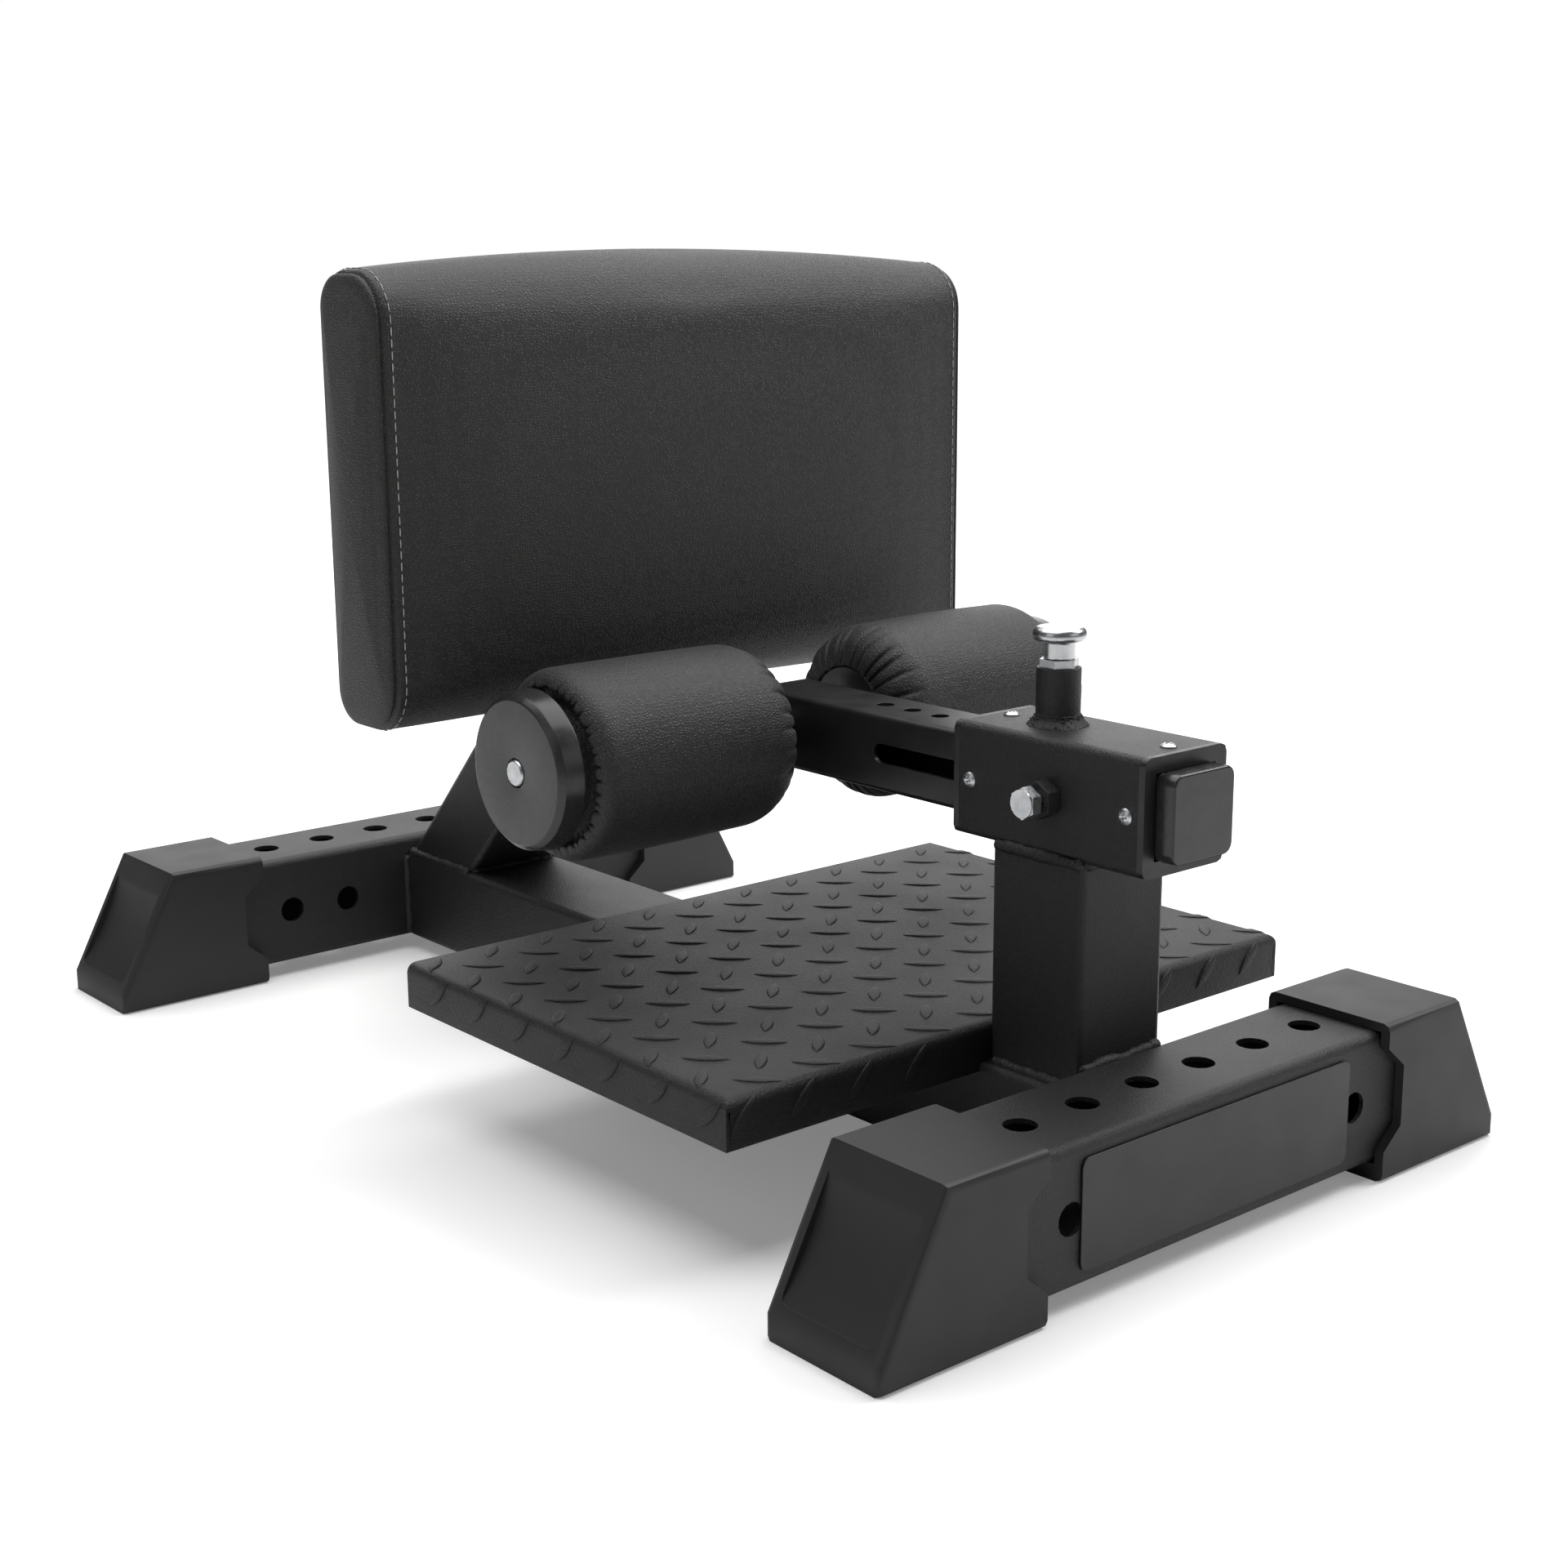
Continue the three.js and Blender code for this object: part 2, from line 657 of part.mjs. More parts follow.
// The sleeve, centred on its own middle, with holes for the pin, the stop bolt and the screws
function guideSleeve() {
  const body = tube(sleeveSize, sleeveSize, sleeveWall, sleeveCorner, sleeveLength, 'y');
  const middleY = sleeveFrontY + sleeveLength / 2;
  const reach = sleeveSize / 2;
  const through = 4 * sleeveWall;
  const cutters = [
    cylinder(pinRadius + seat, through, 'z', holeSides).translate(0, pinY - middleY, reach),
    cylinder(stopBoltRadius + seat, through, 'x', holeSides).translate(-reach, stopBoltY - middleY, 0),
  ];
  for (const [, direction] of linerScrewSides) {
    for (const end of [-1, 1]) {
      const drill = screwDrill(direction, linerScrewRadius + seat, through, reach);
      cutters.push(drill.translate(0, end * (sleeveLength / 2 - linerScrewInset), 0));
    }
  }
  return piece('guide_sleeve', cut(body, cutters), 'powderCoat', 0, middleY, armAxisHeight);
}

// A plastic liner with its flange at Y = 0 and its sleeve part towards +Y
function linerGeometry() {
  const flangeWall = (sleeveSize - linerBore) / 2;
  const insideWall = (linerOutside - linerBore) / 2;
  const flange = tube(sleeveSize, sleeveSize, flangeWall, sleeveCorner, linerFlange, 'y');
  const inside = tube(linerOutside, linerOutside, insideWall, sleeveCorner, linerLength, 'y');
  const body = join([flange.translate(0, -linerFlange / 2, 0), inside.translate(0, linerLength / 2 - seat, 0)]);
  const reach = linerOutside / 2;
  const bite = linerScrewBite + seat;
  const drills = linerScrewSides.map(([, direction]) => (
    screwDrill(direction, linerScrewRadius + seat, 2 * bite, reach).translate(0, linerScrewInset, 0)));
  return cut(body, drills);
}

function liner(name, atFront) {
  const y = atFront ? sleeveFrontY : sleeveRearY;
  const mesh = piece(name, linerGeometry(), 'linerPlastic', 0, y, armAxisHeight);
  if (!atFront) mesh.rotation.z = Math.PI;
  return mesh;
}

// A screw pointing to -Z with the underside of its domed head at Z = 0
function linerScrew(name, direction, y) {
  const domeShares = [[0.9, 0.55], [0.55, 0.9]]; // of the head's radius and height
  const rise = linerScrewHeadHeight;
  const shank = sleeveWall + seat + linerScrewBite;
  const body = turned([
    [0, -shank],
    [linerScrewRadius, -shank],
    [linerScrewRadius, 0],
    [linerScrewHeadRadius, 0],
    ...domeShares.map(([out, up]) => [linerScrewHeadRadius * out, rise * up]),
    [0, rise],
  ], 'z', smallSides);
  const mesh = piece(name, body, 'zinc');
  mesh.quaternion.setFromUnitVectors(new THREE.Vector3(0, 0, 1), direction);
  mesh.position.copy(direction).multiplyScalar(sleeveSize / 2);
  mesh.position.y += y;
  mesh.position.z += armAxisHeight;
  return mesh;
}

function linerScrews() {
  return linerScrewSides.flatMap(([side, direction]) => [
    linerScrew(`liner_screw_${side}_front`, direction, sleeveFrontY + linerScrewInset),
    linerScrew(`liner_screw_${side}_rear`, direction, sleeveRearY - linerScrewInset),
  ]);
}

// The nut welded to the left of the sleeve, and the bolt whose tip runs in the arm's slot
function stopNut() {
  const drill = cylinder(stopBoltRadius + seat, 2 * stopNutThickness, 'x', holeSides);
  const x = -sleeveSize / 2 - stopNutThickness / 2;
  return piece(
    'stop_bolt_nut', cut(hexagon(stopNutFlats, stopNutThickness, 'x'), [drill]), 'powderCoat',
    x, stopBoltY, armAxisHeight);
}

function stopBolt() {
  const outer = -sleeveSize / 2 - stopBoltReach;
  const tip = -armSize / 2 + armWall + stopBoltTip;
  const shank = cylinder(stopBoltRadius, tip - outer - stopHeadHeight / 2, 'x');
  shank.translate((tip + outer + stopHeadHeight / 2) / 2, 0, 0);
  const head = hexagon(stopHeadFlats, stopHeadHeight - stopHeadDome, 'x');
  head.translate(outer + stopHeadDome + (stopHeadHeight - stopHeadDome) / 2, 0, 0);
  const face = cylinder(stopHeadFlats / 2, stopHeadHeight, 'x', roundSides);
  face.translate(outer + stopHeadHeight / 2, 0, 0);
  return piece('stop_bolt', join([shank, head, face]), 'zinc', 0, stopBoltY, armAxisHeight);
}

// The welded housing of the pull pin, with its flared foot at Z = 0
function pinHousing() {
  const flareShare = 0.45; // of the flare's spread that is left at half its height
  const spread = flareRadius - housingRadius;
  const body = turnedRing([
    [housingBore, 0],
    [flareRadius, 0],
    [housingRadius + spread * flareShare, flareHeight / 2],
    [housingRadius, flareHeight],
    [housingRadius, housingHeight],
    [housingBore, housingHeight],
  ], 'z');
  return piece('pin_housing', body, 'powderCoat', 0, pinY, sleeveTop);
}

// The threaded barrel with its hexagon head, whose underside is at Z = 0
function pinBarrel() {
  const roofZ = barrelHeadHeight - barrelRoof;
  const shank = cylinder(barrelRadius, barrelLength + barrelHeadHeight / 2, 'z', roundSides);
  shank.translate(0, 0, (barrelHeadHeight / 2 - barrelLength) / 2);
  const head = hexagon(barrelFlats, barrelHeadHeight, 'z').translate(0, 0, barrelHeadHeight / 2);
  const chamber = cylinder(barrelBore, barrelLength + overrun + roofZ, 'z', roundSides);
  chamber.translate(0, 0, (roofZ - barrelLength - overrun) / 2);
  const stemHole = cylinder(pinStemRadius + runningGap, 4 * barrelHeadHeight, 'z', holeSides);
  const body = cut(join([shank, head]), [chamber, stemHole]);
  return piece('pin_barrel', body, 'zinc', 0, pinY, sleeveTop + housingHeight);
}

// Heights of the pin's parts at rest, above the sleeve's top
const pinTipZ = armAxisHeight + armSize / 2 + pinClearance - pinTravel - sleeveTop;
const pinShoulderZ = housingHeight + seat - barrelLength - pinShoulderHeight;
const knobFootZ = housingHeight + barrelHeadHeight + seat;

function pinPlunger() {
  const stemTop = knobFootZ + knobBoreDepth - seat;
  const body = turned([
    [0, pinTipZ],
    [pinRadius - pinTaper, pinTipZ],
    [pinRadius, pinTipZ + pinTaper],
    [pinRadius, pinShoulderZ],
    [pinShoulderRadius, pinShoulderZ],
    [pinShoulderRadius, pinShoulderZ + pinShoulderHeight],
    [pinStemRadius, pinShoulderZ + pinShoulderHeight],
    [pinStemRadius, stemTop],
    [0, stemTop],
  ], 'z', holeSides);
  return piece('pin_plunger', body, 'zinc', 0, pinY, sleeveTop);
}

// The spring between the plunger's shoulder and the barrel's roof
function pinSpring() {
  const low = pinShoulderZ + pinShoulderHeight + seat + springWire / 2;
  const high = housingHeight + barrelHeadHeight - barrelRoof - seat - springWire / 2;
  const coilRadius = (pinShoulderRadius + pinStemRadius) / 2;
  const steps = springSteps * springTurns;
  const points = Array.from({ length: steps + 1 }, (_, i) => {
    const angle = (2 * Math.PI * springTurns * i) / steps;
    const z = low + ((high - low) * i) / steps;
    return new THREE.Vector3(coilRadius * Math.cos(angle), coilRadius * Math.sin(angle), z);
  });
  const path = new THREE.CatmullRomCurve3(points);
  const section = new THREE.Shape();
  section.absarc(0, 0, springWire / 2, 0, 2 * Math.PI);
  const body = new THREE.ExtrudeGeometry(section, {
    steps,
    curveSegments: springSides / 2,
    bevelEnabled: false,
    extrudePath: path,
  });
  return piece('pin_spring', body, 'zinc', 0, pinY, sleeveTop);
}

// The pull knob: a waisted neck under a mushroom head, bored for the stem
function pullKnob() {
  const waistShares = [0.4, 0.5, 0.9, 1]; // of the neck's height, where it draws in and out again
  const flareShares = [0.9, 0.6]; // of the head's radius and lower rim, below its widest part
  const crownShares = [0.92, 0.6, 0.75]; // of the head's radius, of its upper rim, and of the radius again
  const neck = knobNeckHeight;
  const rim = (knobHeight - knobRimHeight) / 2;
  const rimTop = neck + rim + knobRimHeight;
  const bore = pinStemRadius + seat;
  const body = turned([
    [0, knobBoreDepth],
    [bore, knobBoreDepth],
    [bore, 0],
    [knobNeckRadius, 0],
    [knobNeckRadius, neck * waistShares[0]],
    [knobNeckWaist, neck * waistShares[1]],
    [knobNeckWaist, neck * waistShares[2]],
    [knobNeckRadius, neck * waistShares[3]],
    [knobRadius * flareShares[0], neck + rim * flareShares[1]],
    [knobRadius, neck + rim],
    [knobRadius, rimTop],
    [knobRadius * crownShares[0], rimTop + rim * crownShares[1]],
    [knobRadius * crownShares[2], rimTop + rim],
    [0, rimTop + rim],
  ], 'z');
  return piece('pull_knob', body, 'chrome', 0, pinY, sleeveTop + knobFootZ);
}

// The leaning tube, cut level on the rail and upright against the pad's mounting plate
function supportTube() {
  const run = supportMiddleY - mountPlateBackY;
  // Spare length at each end, for the cuts
  const spare = supportDepth / Math.min(Math.sin(supportLean), Math.cos(supportLean));
  const length = run / Math.sin(supportLean) + 2 * spare;
  const body = tube(supportWidth, supportDepth, supportWall, supportCorner, length, 'z');
  body.rotateX(supportLean);
  body.translate(0, (supportMiddleY + mountPlateBackY) / 2, (railTop + supportMeetZ) / 2);
  const below = box(2 * supportWidth, length, length).translate(0, supportMiddleY, railTop - length / 2);
  const ahead = box(2 * supportWidth, length, length);
  ahead.translate(0, mountPlateBackY - length / 2, supportMeetZ);
  return piece('support_tube', cut(body, [below, ahead]), 'powderCoat');
}

// Places of the four bolts of the mounting plate, from its middle: [name, x, z]
const padBoltPlaces = [['left', -1], ['right', 1]].flatMap(([side, x]) => (
  [['lower', -1], ['upper', 1]].map(([level, z]) => [
    `pad_bolt_${side}_${level}`,
    x * (mountPlateWidth / 2 - padBoltInset),
    z * (mountPlateHeight / 2 - padBoltInset),
  ])));

function padMountPlate() {
  const outline = roundedRectangle(mountPlateWidth, mountPlateHeight, mountPlateRadius);
  const body = prism(outline, mountPlateThickness, 'y');
  const drills = padBoltPlaces.map(([, x, z]) => (
    cylinder(padBoltRadius + seat, 2 * mountPlateThickness, 'y', smallSides).translate(x, 0, z)));
  const y = padBackY + mountPlateThickness / 2;
  return piece('pad_mount_plate', cut(body, drills), 'powderCoat', 0, y, mountPlateZ);
}

// The board lies flush with the pad's back and takes the bolts
function padBoard() {
  const width = padWidth - 2 * padBoardMargin;
  const height = padHeight - 2 * padBoardMargin;
  const body = prism(roundedRectangle(width, height, padBoardRadius), padBoardThickness, 'y');
  const drills = padBoltPlaces.map(([, x, z]) => (
    cylinder(padBoltRadius + seat, 2 * (padBoltBite + seat), 'y', smallSides)
      .translate(x, padBoardThickness / 2, z + mountPlateZ - padMiddleZ)));
  return piece('pad_board', cut(body, drills), 'plywood', 0, padBackY - padBoardThickness / 2, padMiddleZ);
}

function padBolts() {
  const shank = mountPlateThickness + padBoltBite;
  return padBoltPlaces.map(([name, x, z]) => {
    const body = join([
      hexagon(padBoltFlats, padBoltHeadHeight, 'y').translate(0, padBoltHeadHeight / 2, 0),
      cylinder(padBoltRadius, shank + overrun, 'y').translate(0, (overrun - shank) / 2, 0),
    ]);
    return piece(name, body, 'zinc', x, mountPlateBackY, mountPlateZ + z);
  });
}

// The calf cushion, lofted across its width from rounded sections. The back is flat for the board,
// the face and the top are crowned, and the cover draws in towards the end seams.
function calfPad() {
  const stationShares = [-1, -0.985, -0.94, -0.85, -0.6, -0.3, 0, 0.3, 0.6, 0.85, 0.94, 0.985, 1];
  const runShares = [0.25, 0.5, 0.75]; // extra points along the section's long straight runs
  const seamShare = 0.06; // of the half width, over which the end seam draws the cover in
  const section = roundedRectangle(padThickness, padHeight, padEdgeRadius);
  const outline = section.getPoints(padCornerSteps).slice(0, -1);
  const sides = [];
  for (let i = 0; i < outline.length; i += 1) {
    // Long straight runs get more points, so that they can follow the crown
    const next = outline[(i + 1) % outline.length];
    sides.push(outline[i]);
    if (outline[i].distanceTo(next) > padEdgeRadius) {
      for (const share of runShares) sides.push(outline[i].clone().lerp(next, share));
    }
  }
  const positions = [];
  for (const share of stationShares) {
    const fullness = 1 - share ** 2;
    const drawn = 1 - Math.min(1, (1 - Math.abs(share)) / seamShare);
    for (const { x: depth, y: rise } of sides) {
      const height = rise / (padHeight / 2);
      const toFront = Math.max(0, -depth / (padThickness / 2));
      const toTop = Math.max(0, height);
      const faceCrown = padFaceCrown * toFront * (1 - height ** 2) * (1 - share ** 4);
      const draw = padSideDraw * drawn;
      positions.push(
        (share * padWidth) / 2,
        depth - faceCrown + draw * toFront,
        rise + padTopCrown * fullness * toTop ** 2 - draw * height,
      );
    }
  }
  const count = sides.length;
  const index = [];
  for (let ring = 0; ring < stationShares.length - 1; ring += 1) {
    for (let i = 0; i < count; i += 1) {
      const a = ring * count + i;
      const b = ring * count + ((i + 1) % count);
      index.push(a, b, a + count, b, b + count, a + count);
    }
  }
  // The end panels rise a little to a middle point
  for (const [ring, side] of [[0, -1], [stationShares.length - 1, 1]]) {
    const middle = positions.length / 3;
    positions.push(side * (padWidth / 2 + padEndCrown), 0, 0);
    for (let i = 0; i < count; i += 1) {
      const a = ring * count + i;
      const b = ring * count + ((i + 1) % count);
      if (side > 0) index.push(a, b, middle);
      else index.push(b, a, middle);
    }
  }
  const body = new THREE.BufferGeometry();
  body.setAttribute('position', new THREE.Float32BufferAttribute(positions, 3));
  body.setIndex(index);
  const pocketOutline = roundedRectangle(
    padWidth - 2 * (padBoardMargin - seat), padHeight - 2 * (padBoardMargin - seat), padBoardRadius + seat);
  const pocket = prism(pocketOutline, padBoardThickness + seat + overrun, 'y');
  pocket.translate(0, (padThickness - padBoardThickness - seat + overrun) / 2, 0);
  const y = padBackY - padThickness / 2;
  return piece('calf_pad', cut(facingOut(body), [pocket]), 'leather', 0, y, padMiddleZ);
}

// The square tube that slides in the liners, drawn round its own middle
function rollerArm() {
  const middleY = armFrontY + armLength / 2;
  const body = tube(armSize, armSize, armWall, armCorner, armLength, 'y');
  const holes = Array.from({ length: armHoleCount }, (_, i) => (
    cylinder(armHoleRadius, 4 * armWall, 'z', holeSides)
      .translate(0, pinY + i * armHolePitch - middleY, armSize / 2)));
  const slotLength = armTravel + 2 * (stopBoltRadius + slotEndRoom);
  const slot = prism(slotOutline(slotLength, slotHeight), 4 * armWall, 'x', holeSides / 4);
  slot.translate(-armSize / 2, stopBoltY + armTravel / 2 - middleY, 0);
  const axleHole = cylinder(axleRadius + seat, 2 * armSize, 'x', roundSides).translate(0, axleY - middleY, 0);
  return piece('roller_arm', cut(body, [...holes, slot, axleHole]), 'satinBlack', 0, middleY, armAxisHeight);
}

// The hollow part of a plug that stands in the arm's end
function plugInsertTube(length) {
  const size = armSize - 2 * (armWall + seat);
  return tube(size, size, plugInsertWall, armCorner - armWall / 2, length, 'y');
}

// The front plug: a thick lip with rounded edges and a hollow insert inside the tube.
// Its lip ends at Y = 0 against the tube and the insert runs towards +Y.
function frontPlug() {
  const lipSize = armSize + 2 * (plugLipOverlap - plugBevel);
  const lip = new THREE.ExtrudeGeometry(roundedRectangle(lipSize, lipSize, plugRadius - plugBevel), {
    depth: plugLip - 2 * plugBevel,
    bevelThickness: plugBevel,
    bevelSize: plugBevel,
    bevelSegments: 2,
    curveSegments: 2,
  });
  lengthwise(lip.translate(0, 0, plugBevel), 'y');
  const insert = plugInsertTube(plugInsert + plugLip / 2).translate(0, (plugInsert - plugLip / 2) / 2, 0);
  return piece('arm_front_plug', join([lip, insert]), 'greyPlastic', 0, armFrontY, armAxisHeight);
}

function rearPlug() {
  const lip = prism(roundedRectangle(armSize, armSize, armCorner), rearPlugLip, 'y');
  const insert = plugInsertTube(rearPlugInsert + rearPlugLip / 2);
  const body = join([
    lip.translate(0, rearPlugLip / 2, 0),
    insert.translate(0, (rearPlugLip / 2 - rearPlugInsert) / 2, 0),
  ]);
  return piece('arm_rear_plug', body, 'blackPlastic', 0, armRearY, armAxisHeight);
}

// The axle, tapped at both ends for the screws that keep the rollers on
function rollerAxle() {
  const body = cylinder(axleRadius, 2 * axleEnd, 'x', roundSides);
  const taps = [-1, 1].map((side) => (
    cylinder(axleScrewRadius + seat, 2 * (axleScrewBite + seat), 'x').translate(side * axleEnd, 0, 0)));
  return piece('roller_axle', cut(body, taps), 'zinc', 0, axleY, armAxisHeight);
}

// Everything on the axle is drawn for the right side. The left side is the same, turned half round.
function onAxle(name, geometry, finish, side) {
  const mesh = piece(name, geometry, finish, 0, axleY, armAxisHeight);
  if (side < 0) mesh.rotation.z = Math.PI;
  return mesh;
}

function axleSpacer() {
  const low = armSize / 2;
  const high = rollerInner - runningGap;
  const bore = axleRadius + seat;
  return turnedRing([[bore, low], [spacerRadius, low], [spacerRadius, high], [bore, high]], 'x', holeSides);
}

function axleScrew() {
  const face = rollerOuter - capRecess + runningGap;
  const tip = axleEnd - axleScrewBite;
  const rimShares = [0.6, 0.88]; // of the head's height, and of its radius, where its rim rounds off
  const rise = axleScrewHeadHeight;
  return turned([
    [0, tip],
    [axleScrewRadius, tip],
    [axleScrewRadius, face],
    [axleScrewHeadRadius, face],
    [axleScrewHeadRadius, face + rise * rimShares[0]],
    [axleScrewHeadRadius * rimShares[1], face + rise],
    [0, face + rise],
  ], 'x', holeSides);
}

const coreRadius = axleRadius + runningGap + rollerCoreWall;
const coverEnd = rollerOuter - capThickness;

function rollerCore() {
  const low = rollerInner + rollerDiscThickness + seat;
  const high = coverEnd;
  const bore = axleRadius + runningGap;
  return turnedRing([[bore, low], [coreRadius, low], [coreRadius, high], [bore, high]], 'x', holeSides);
}

function rollerDisc() {
  const low = rollerInner;
  const high = rollerInner + rollerDiscThickness;
  const bore = axleRadius + runningGap;
  return turnedRing([
    [bore, low],
    [rollerDiscRadius - rollerDiscThickness / 2, low],
    [rollerDiscRadius, low + rollerDiscThickness / 2],
    [rollerDiscRadius, high],
    [bore, high],
  ], 'x');
}

// The end cap: a flange on the cover, a chamfered drum and a recess for the screw's head
function rollerCap() {
  const bore = axleRadius + runningGap;
  const wallLow = rollerOuter - capRecess - capEndWall;
  const flangeHigh = coverEnd + seat + capFlangeThickness;
  return turnedRing([
    [bore, coverEnd + seat],
    [capFlangeRadius, coverEnd + seat],
    [capFlangeRadius, flangeHigh],
    [capRadius, flangeHigh],
    [capRadius, rollerOuter - capChamfer],
    [capRadius - capChamfer, rollerOuter],
    [axleScrewHeadRadius + 2 * runningGap, rollerOuter],
    [axleScrewHeadRadius + 2 * runningGap, rollerOuter - capRecess],
    [axleScrewRadius + runningGap, rollerOuter - capRecess],
    [axleScrewRadius + runningGap, wallLow],
    [bore, wallLow],
  ], 'x');
}

// The padded cover: a drum whose inner end is gathered in pleats round the disc
function rollerCover() {
  const bore = coreRadius + seat;
  const discEdge = rollerDiscRadius + seat;
  const discSeat = rollerInner + rollerDiscThickness + seat;
  const rise = rollerRadius - discEdge;
  const profile = [[bore, discSeat, 0], [discEdge, discSeat, 0]];
  const archShares = [0.2, 0.4, 0.6, 0.8, 1];
  for (const share of archShares) {
    // A quarter ellipse from the disc's edge out to the drum, deepest pleats near the disc
    const angle = (share * Math.PI) / 2;
    const radius = discEdge + rise * Math.sin(angle);
    profile.push([radius, rollerInner + rollerShoulder * (1 - Math.cos(angle)), 1 - share]);
  }
  const cornerShare = 0.3; // of the rear shoulder, by which a round corner stands in from a square one
  const shoulder = coverEnd - rollerRearShoulder;
  profile.push([rollerRadius, (rollerInner + rollerShoulder + shoulder) / 2, 0]);
  profile.push([rollerRadius, shoulder, 0]);
  const corner = rollerRearShoulder * cornerShare;
  profile.push([rollerRadius - corner, coverEnd - corner, 0]);
  profile.push([rollerRadius - rollerRearShoulder, coverEnd, 0]);
  profile.push([bore, coverEnd, 0]);
  const around = 4 * rollerPleats;
  const positions = [];
  for (let i = 0; i < around; i += 1) {
    const angle = (2 * Math.PI * i) / around;
    const fold = (1 - Math.cos(rollerPleats * angle)) / 2;
    for (const [radius, along, pleat] of profile) {
      const r = radius - rollerPleatDepth * pleat * fold;
      positions.push(along + rollerPleatDepth * pleat * fold, r * Math.cos(angle), r * Math.sin(angle));
    }
  }
  const count = profile.length;
  const index = [];
  for (let i = 0; i < around; i += 1) {
    for (let k = 0; k < count; k += 1) {
      const a = i * count + k;
      const b = i * count + ((k + 1) % count);
      const c = ((i + 1) % around) * count + k;
      const d = ((i + 1) % around) * count + ((k + 1) % count);
      index.push(a, b, c, b, d, c);
    }
  }
  const body = new THREE.BufferGeometry();
  body.setAttribute('position', new THREE.Float32BufferAttribute(positions, 3));
  body.setIndex(index);
  return body;
}

function roller(side, label) {
  const group = new THREE.Group();
  group.add(
    onAxle(`roller_core_${label}`, rollerCore(), 'blackPlastic', side),
    onAxle(`roller_cover_${label}`, rollerCover(), 'leather', side),
    onAxle(`roller_disc_${label}`, rollerDisc(), 'blackPlastic', side),
    onAxle(`roller_cap_${label}`, rollerCap(), 'greyPlastic', side),
  );
  return group;
}

function base() {
  const group = new THREE.Group();
  group.add(
    mainRail(),
    baseTube('front_base_tube', frontBootMouth, frontHoleCount, frontFaceHolesPerSide, frontTubeY),
    baseTube('rear_base_tube', rearBootMouth, rearHoleCount, rearFaceHolesPerSide, rearTubeY),
    boot('front_left_boot', -1, frontBootMouth, frontTubeY),
    boot('front_right_boot', 1, frontBootMouth, frontTubeY),
    boot('rear_left_boot', -1, rearBootMouth, rearTubeY),
    boot('rear_right_boot', 1, rearBootMouth, rearTubeY),
    namePlate(),
    frontPost(),
    treadPlate(),
    crossBar('tread_cross_bar_front', postRearY + crossBarInset),
    crossBar('tread_cross_bar_rear', postRearY + treadDepth - crossBarInset),
  );
  return group;
}

function sleeveGroup() {
  const group = new THREE.Group();
  group.add(
    guideSleeve(),
    liner('front_sleeve_liner', true),
    liner('rear_sleeve_liner', false),
    ...linerScrews(),
    stopNut(),
    stopBolt(),
    pinHousing(),
    pinBarrel(),
  );
  return group;
}

function pullPin() {
  const group = new THREE.Group();
  group.add(pinPlunger(), pullKnob(), pinSpring());
  return group;
}

function padGroup() {
  const group = new THREE.Group();
  group.add(supportTube(), padMountPlate(), padBoard(), calfPad(), ...padBolts());
  return group;
}

function slidingArm() {
  const group = new THREE.Group();
  group.add(
    rollerArm(),
    frontPlug(),
    rearPlug(),
    rollerAxle(),
    onAxle('axle_spacer_left', axleSpacer(), 'zinc', -1),
    onAxle('axle_spacer_right', axleSpacer(), 'zinc', 1),
    onAxle('axle_screw_left', axleScrew(), 'zinc', -1),
    onAxle('axle_screw_right', axleScrew(), 'zinc', 1),
    roller(-1, 'left'),
    roller(1, 'right'),
  );
  return group;
}

const bench = new THREE.Group();
bench.add(base(), sleeveGroup(), pullPin(), padGroup(), slidingArm());

export default bench;
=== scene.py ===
import json

import bmesh
import bpy
import numpy as np
from mathutils import Matrix, Vector


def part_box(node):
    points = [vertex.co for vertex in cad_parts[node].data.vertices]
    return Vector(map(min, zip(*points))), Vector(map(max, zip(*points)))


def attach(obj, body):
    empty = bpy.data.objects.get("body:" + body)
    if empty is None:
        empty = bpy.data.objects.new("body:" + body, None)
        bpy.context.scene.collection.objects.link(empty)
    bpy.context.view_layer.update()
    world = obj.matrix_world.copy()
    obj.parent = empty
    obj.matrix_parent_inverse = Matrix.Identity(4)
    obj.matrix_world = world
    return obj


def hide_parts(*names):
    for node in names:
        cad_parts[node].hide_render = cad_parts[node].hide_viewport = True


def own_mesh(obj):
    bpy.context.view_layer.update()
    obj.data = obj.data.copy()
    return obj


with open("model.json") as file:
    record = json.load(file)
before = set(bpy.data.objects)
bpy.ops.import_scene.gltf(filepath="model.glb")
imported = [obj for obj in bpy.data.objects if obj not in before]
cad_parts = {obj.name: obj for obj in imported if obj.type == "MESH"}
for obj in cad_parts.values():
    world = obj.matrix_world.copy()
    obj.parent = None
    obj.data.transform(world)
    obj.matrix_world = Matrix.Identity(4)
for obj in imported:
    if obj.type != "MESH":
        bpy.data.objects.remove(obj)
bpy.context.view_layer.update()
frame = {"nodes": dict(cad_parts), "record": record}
nodes = frame["nodes"]
mm = 0.001
slotOf = {part["node"]: part["material_slot"] for part in frame["record"]["subparts"]}
print("frame:", len(nodes), "nodes")

# Camera and studio

cameraSetup = {
    "place": (-0.9807, -1.2220, 0.5621),
    "yaw": 40.185,  # degrees from +Y towards +X
    "pitch": 13.122,  # degrees downwards
    "roll": -0.339,
    "focalPixels": 2802.2,
    "imagePixels": 1920,
    "sensor": 36,
}

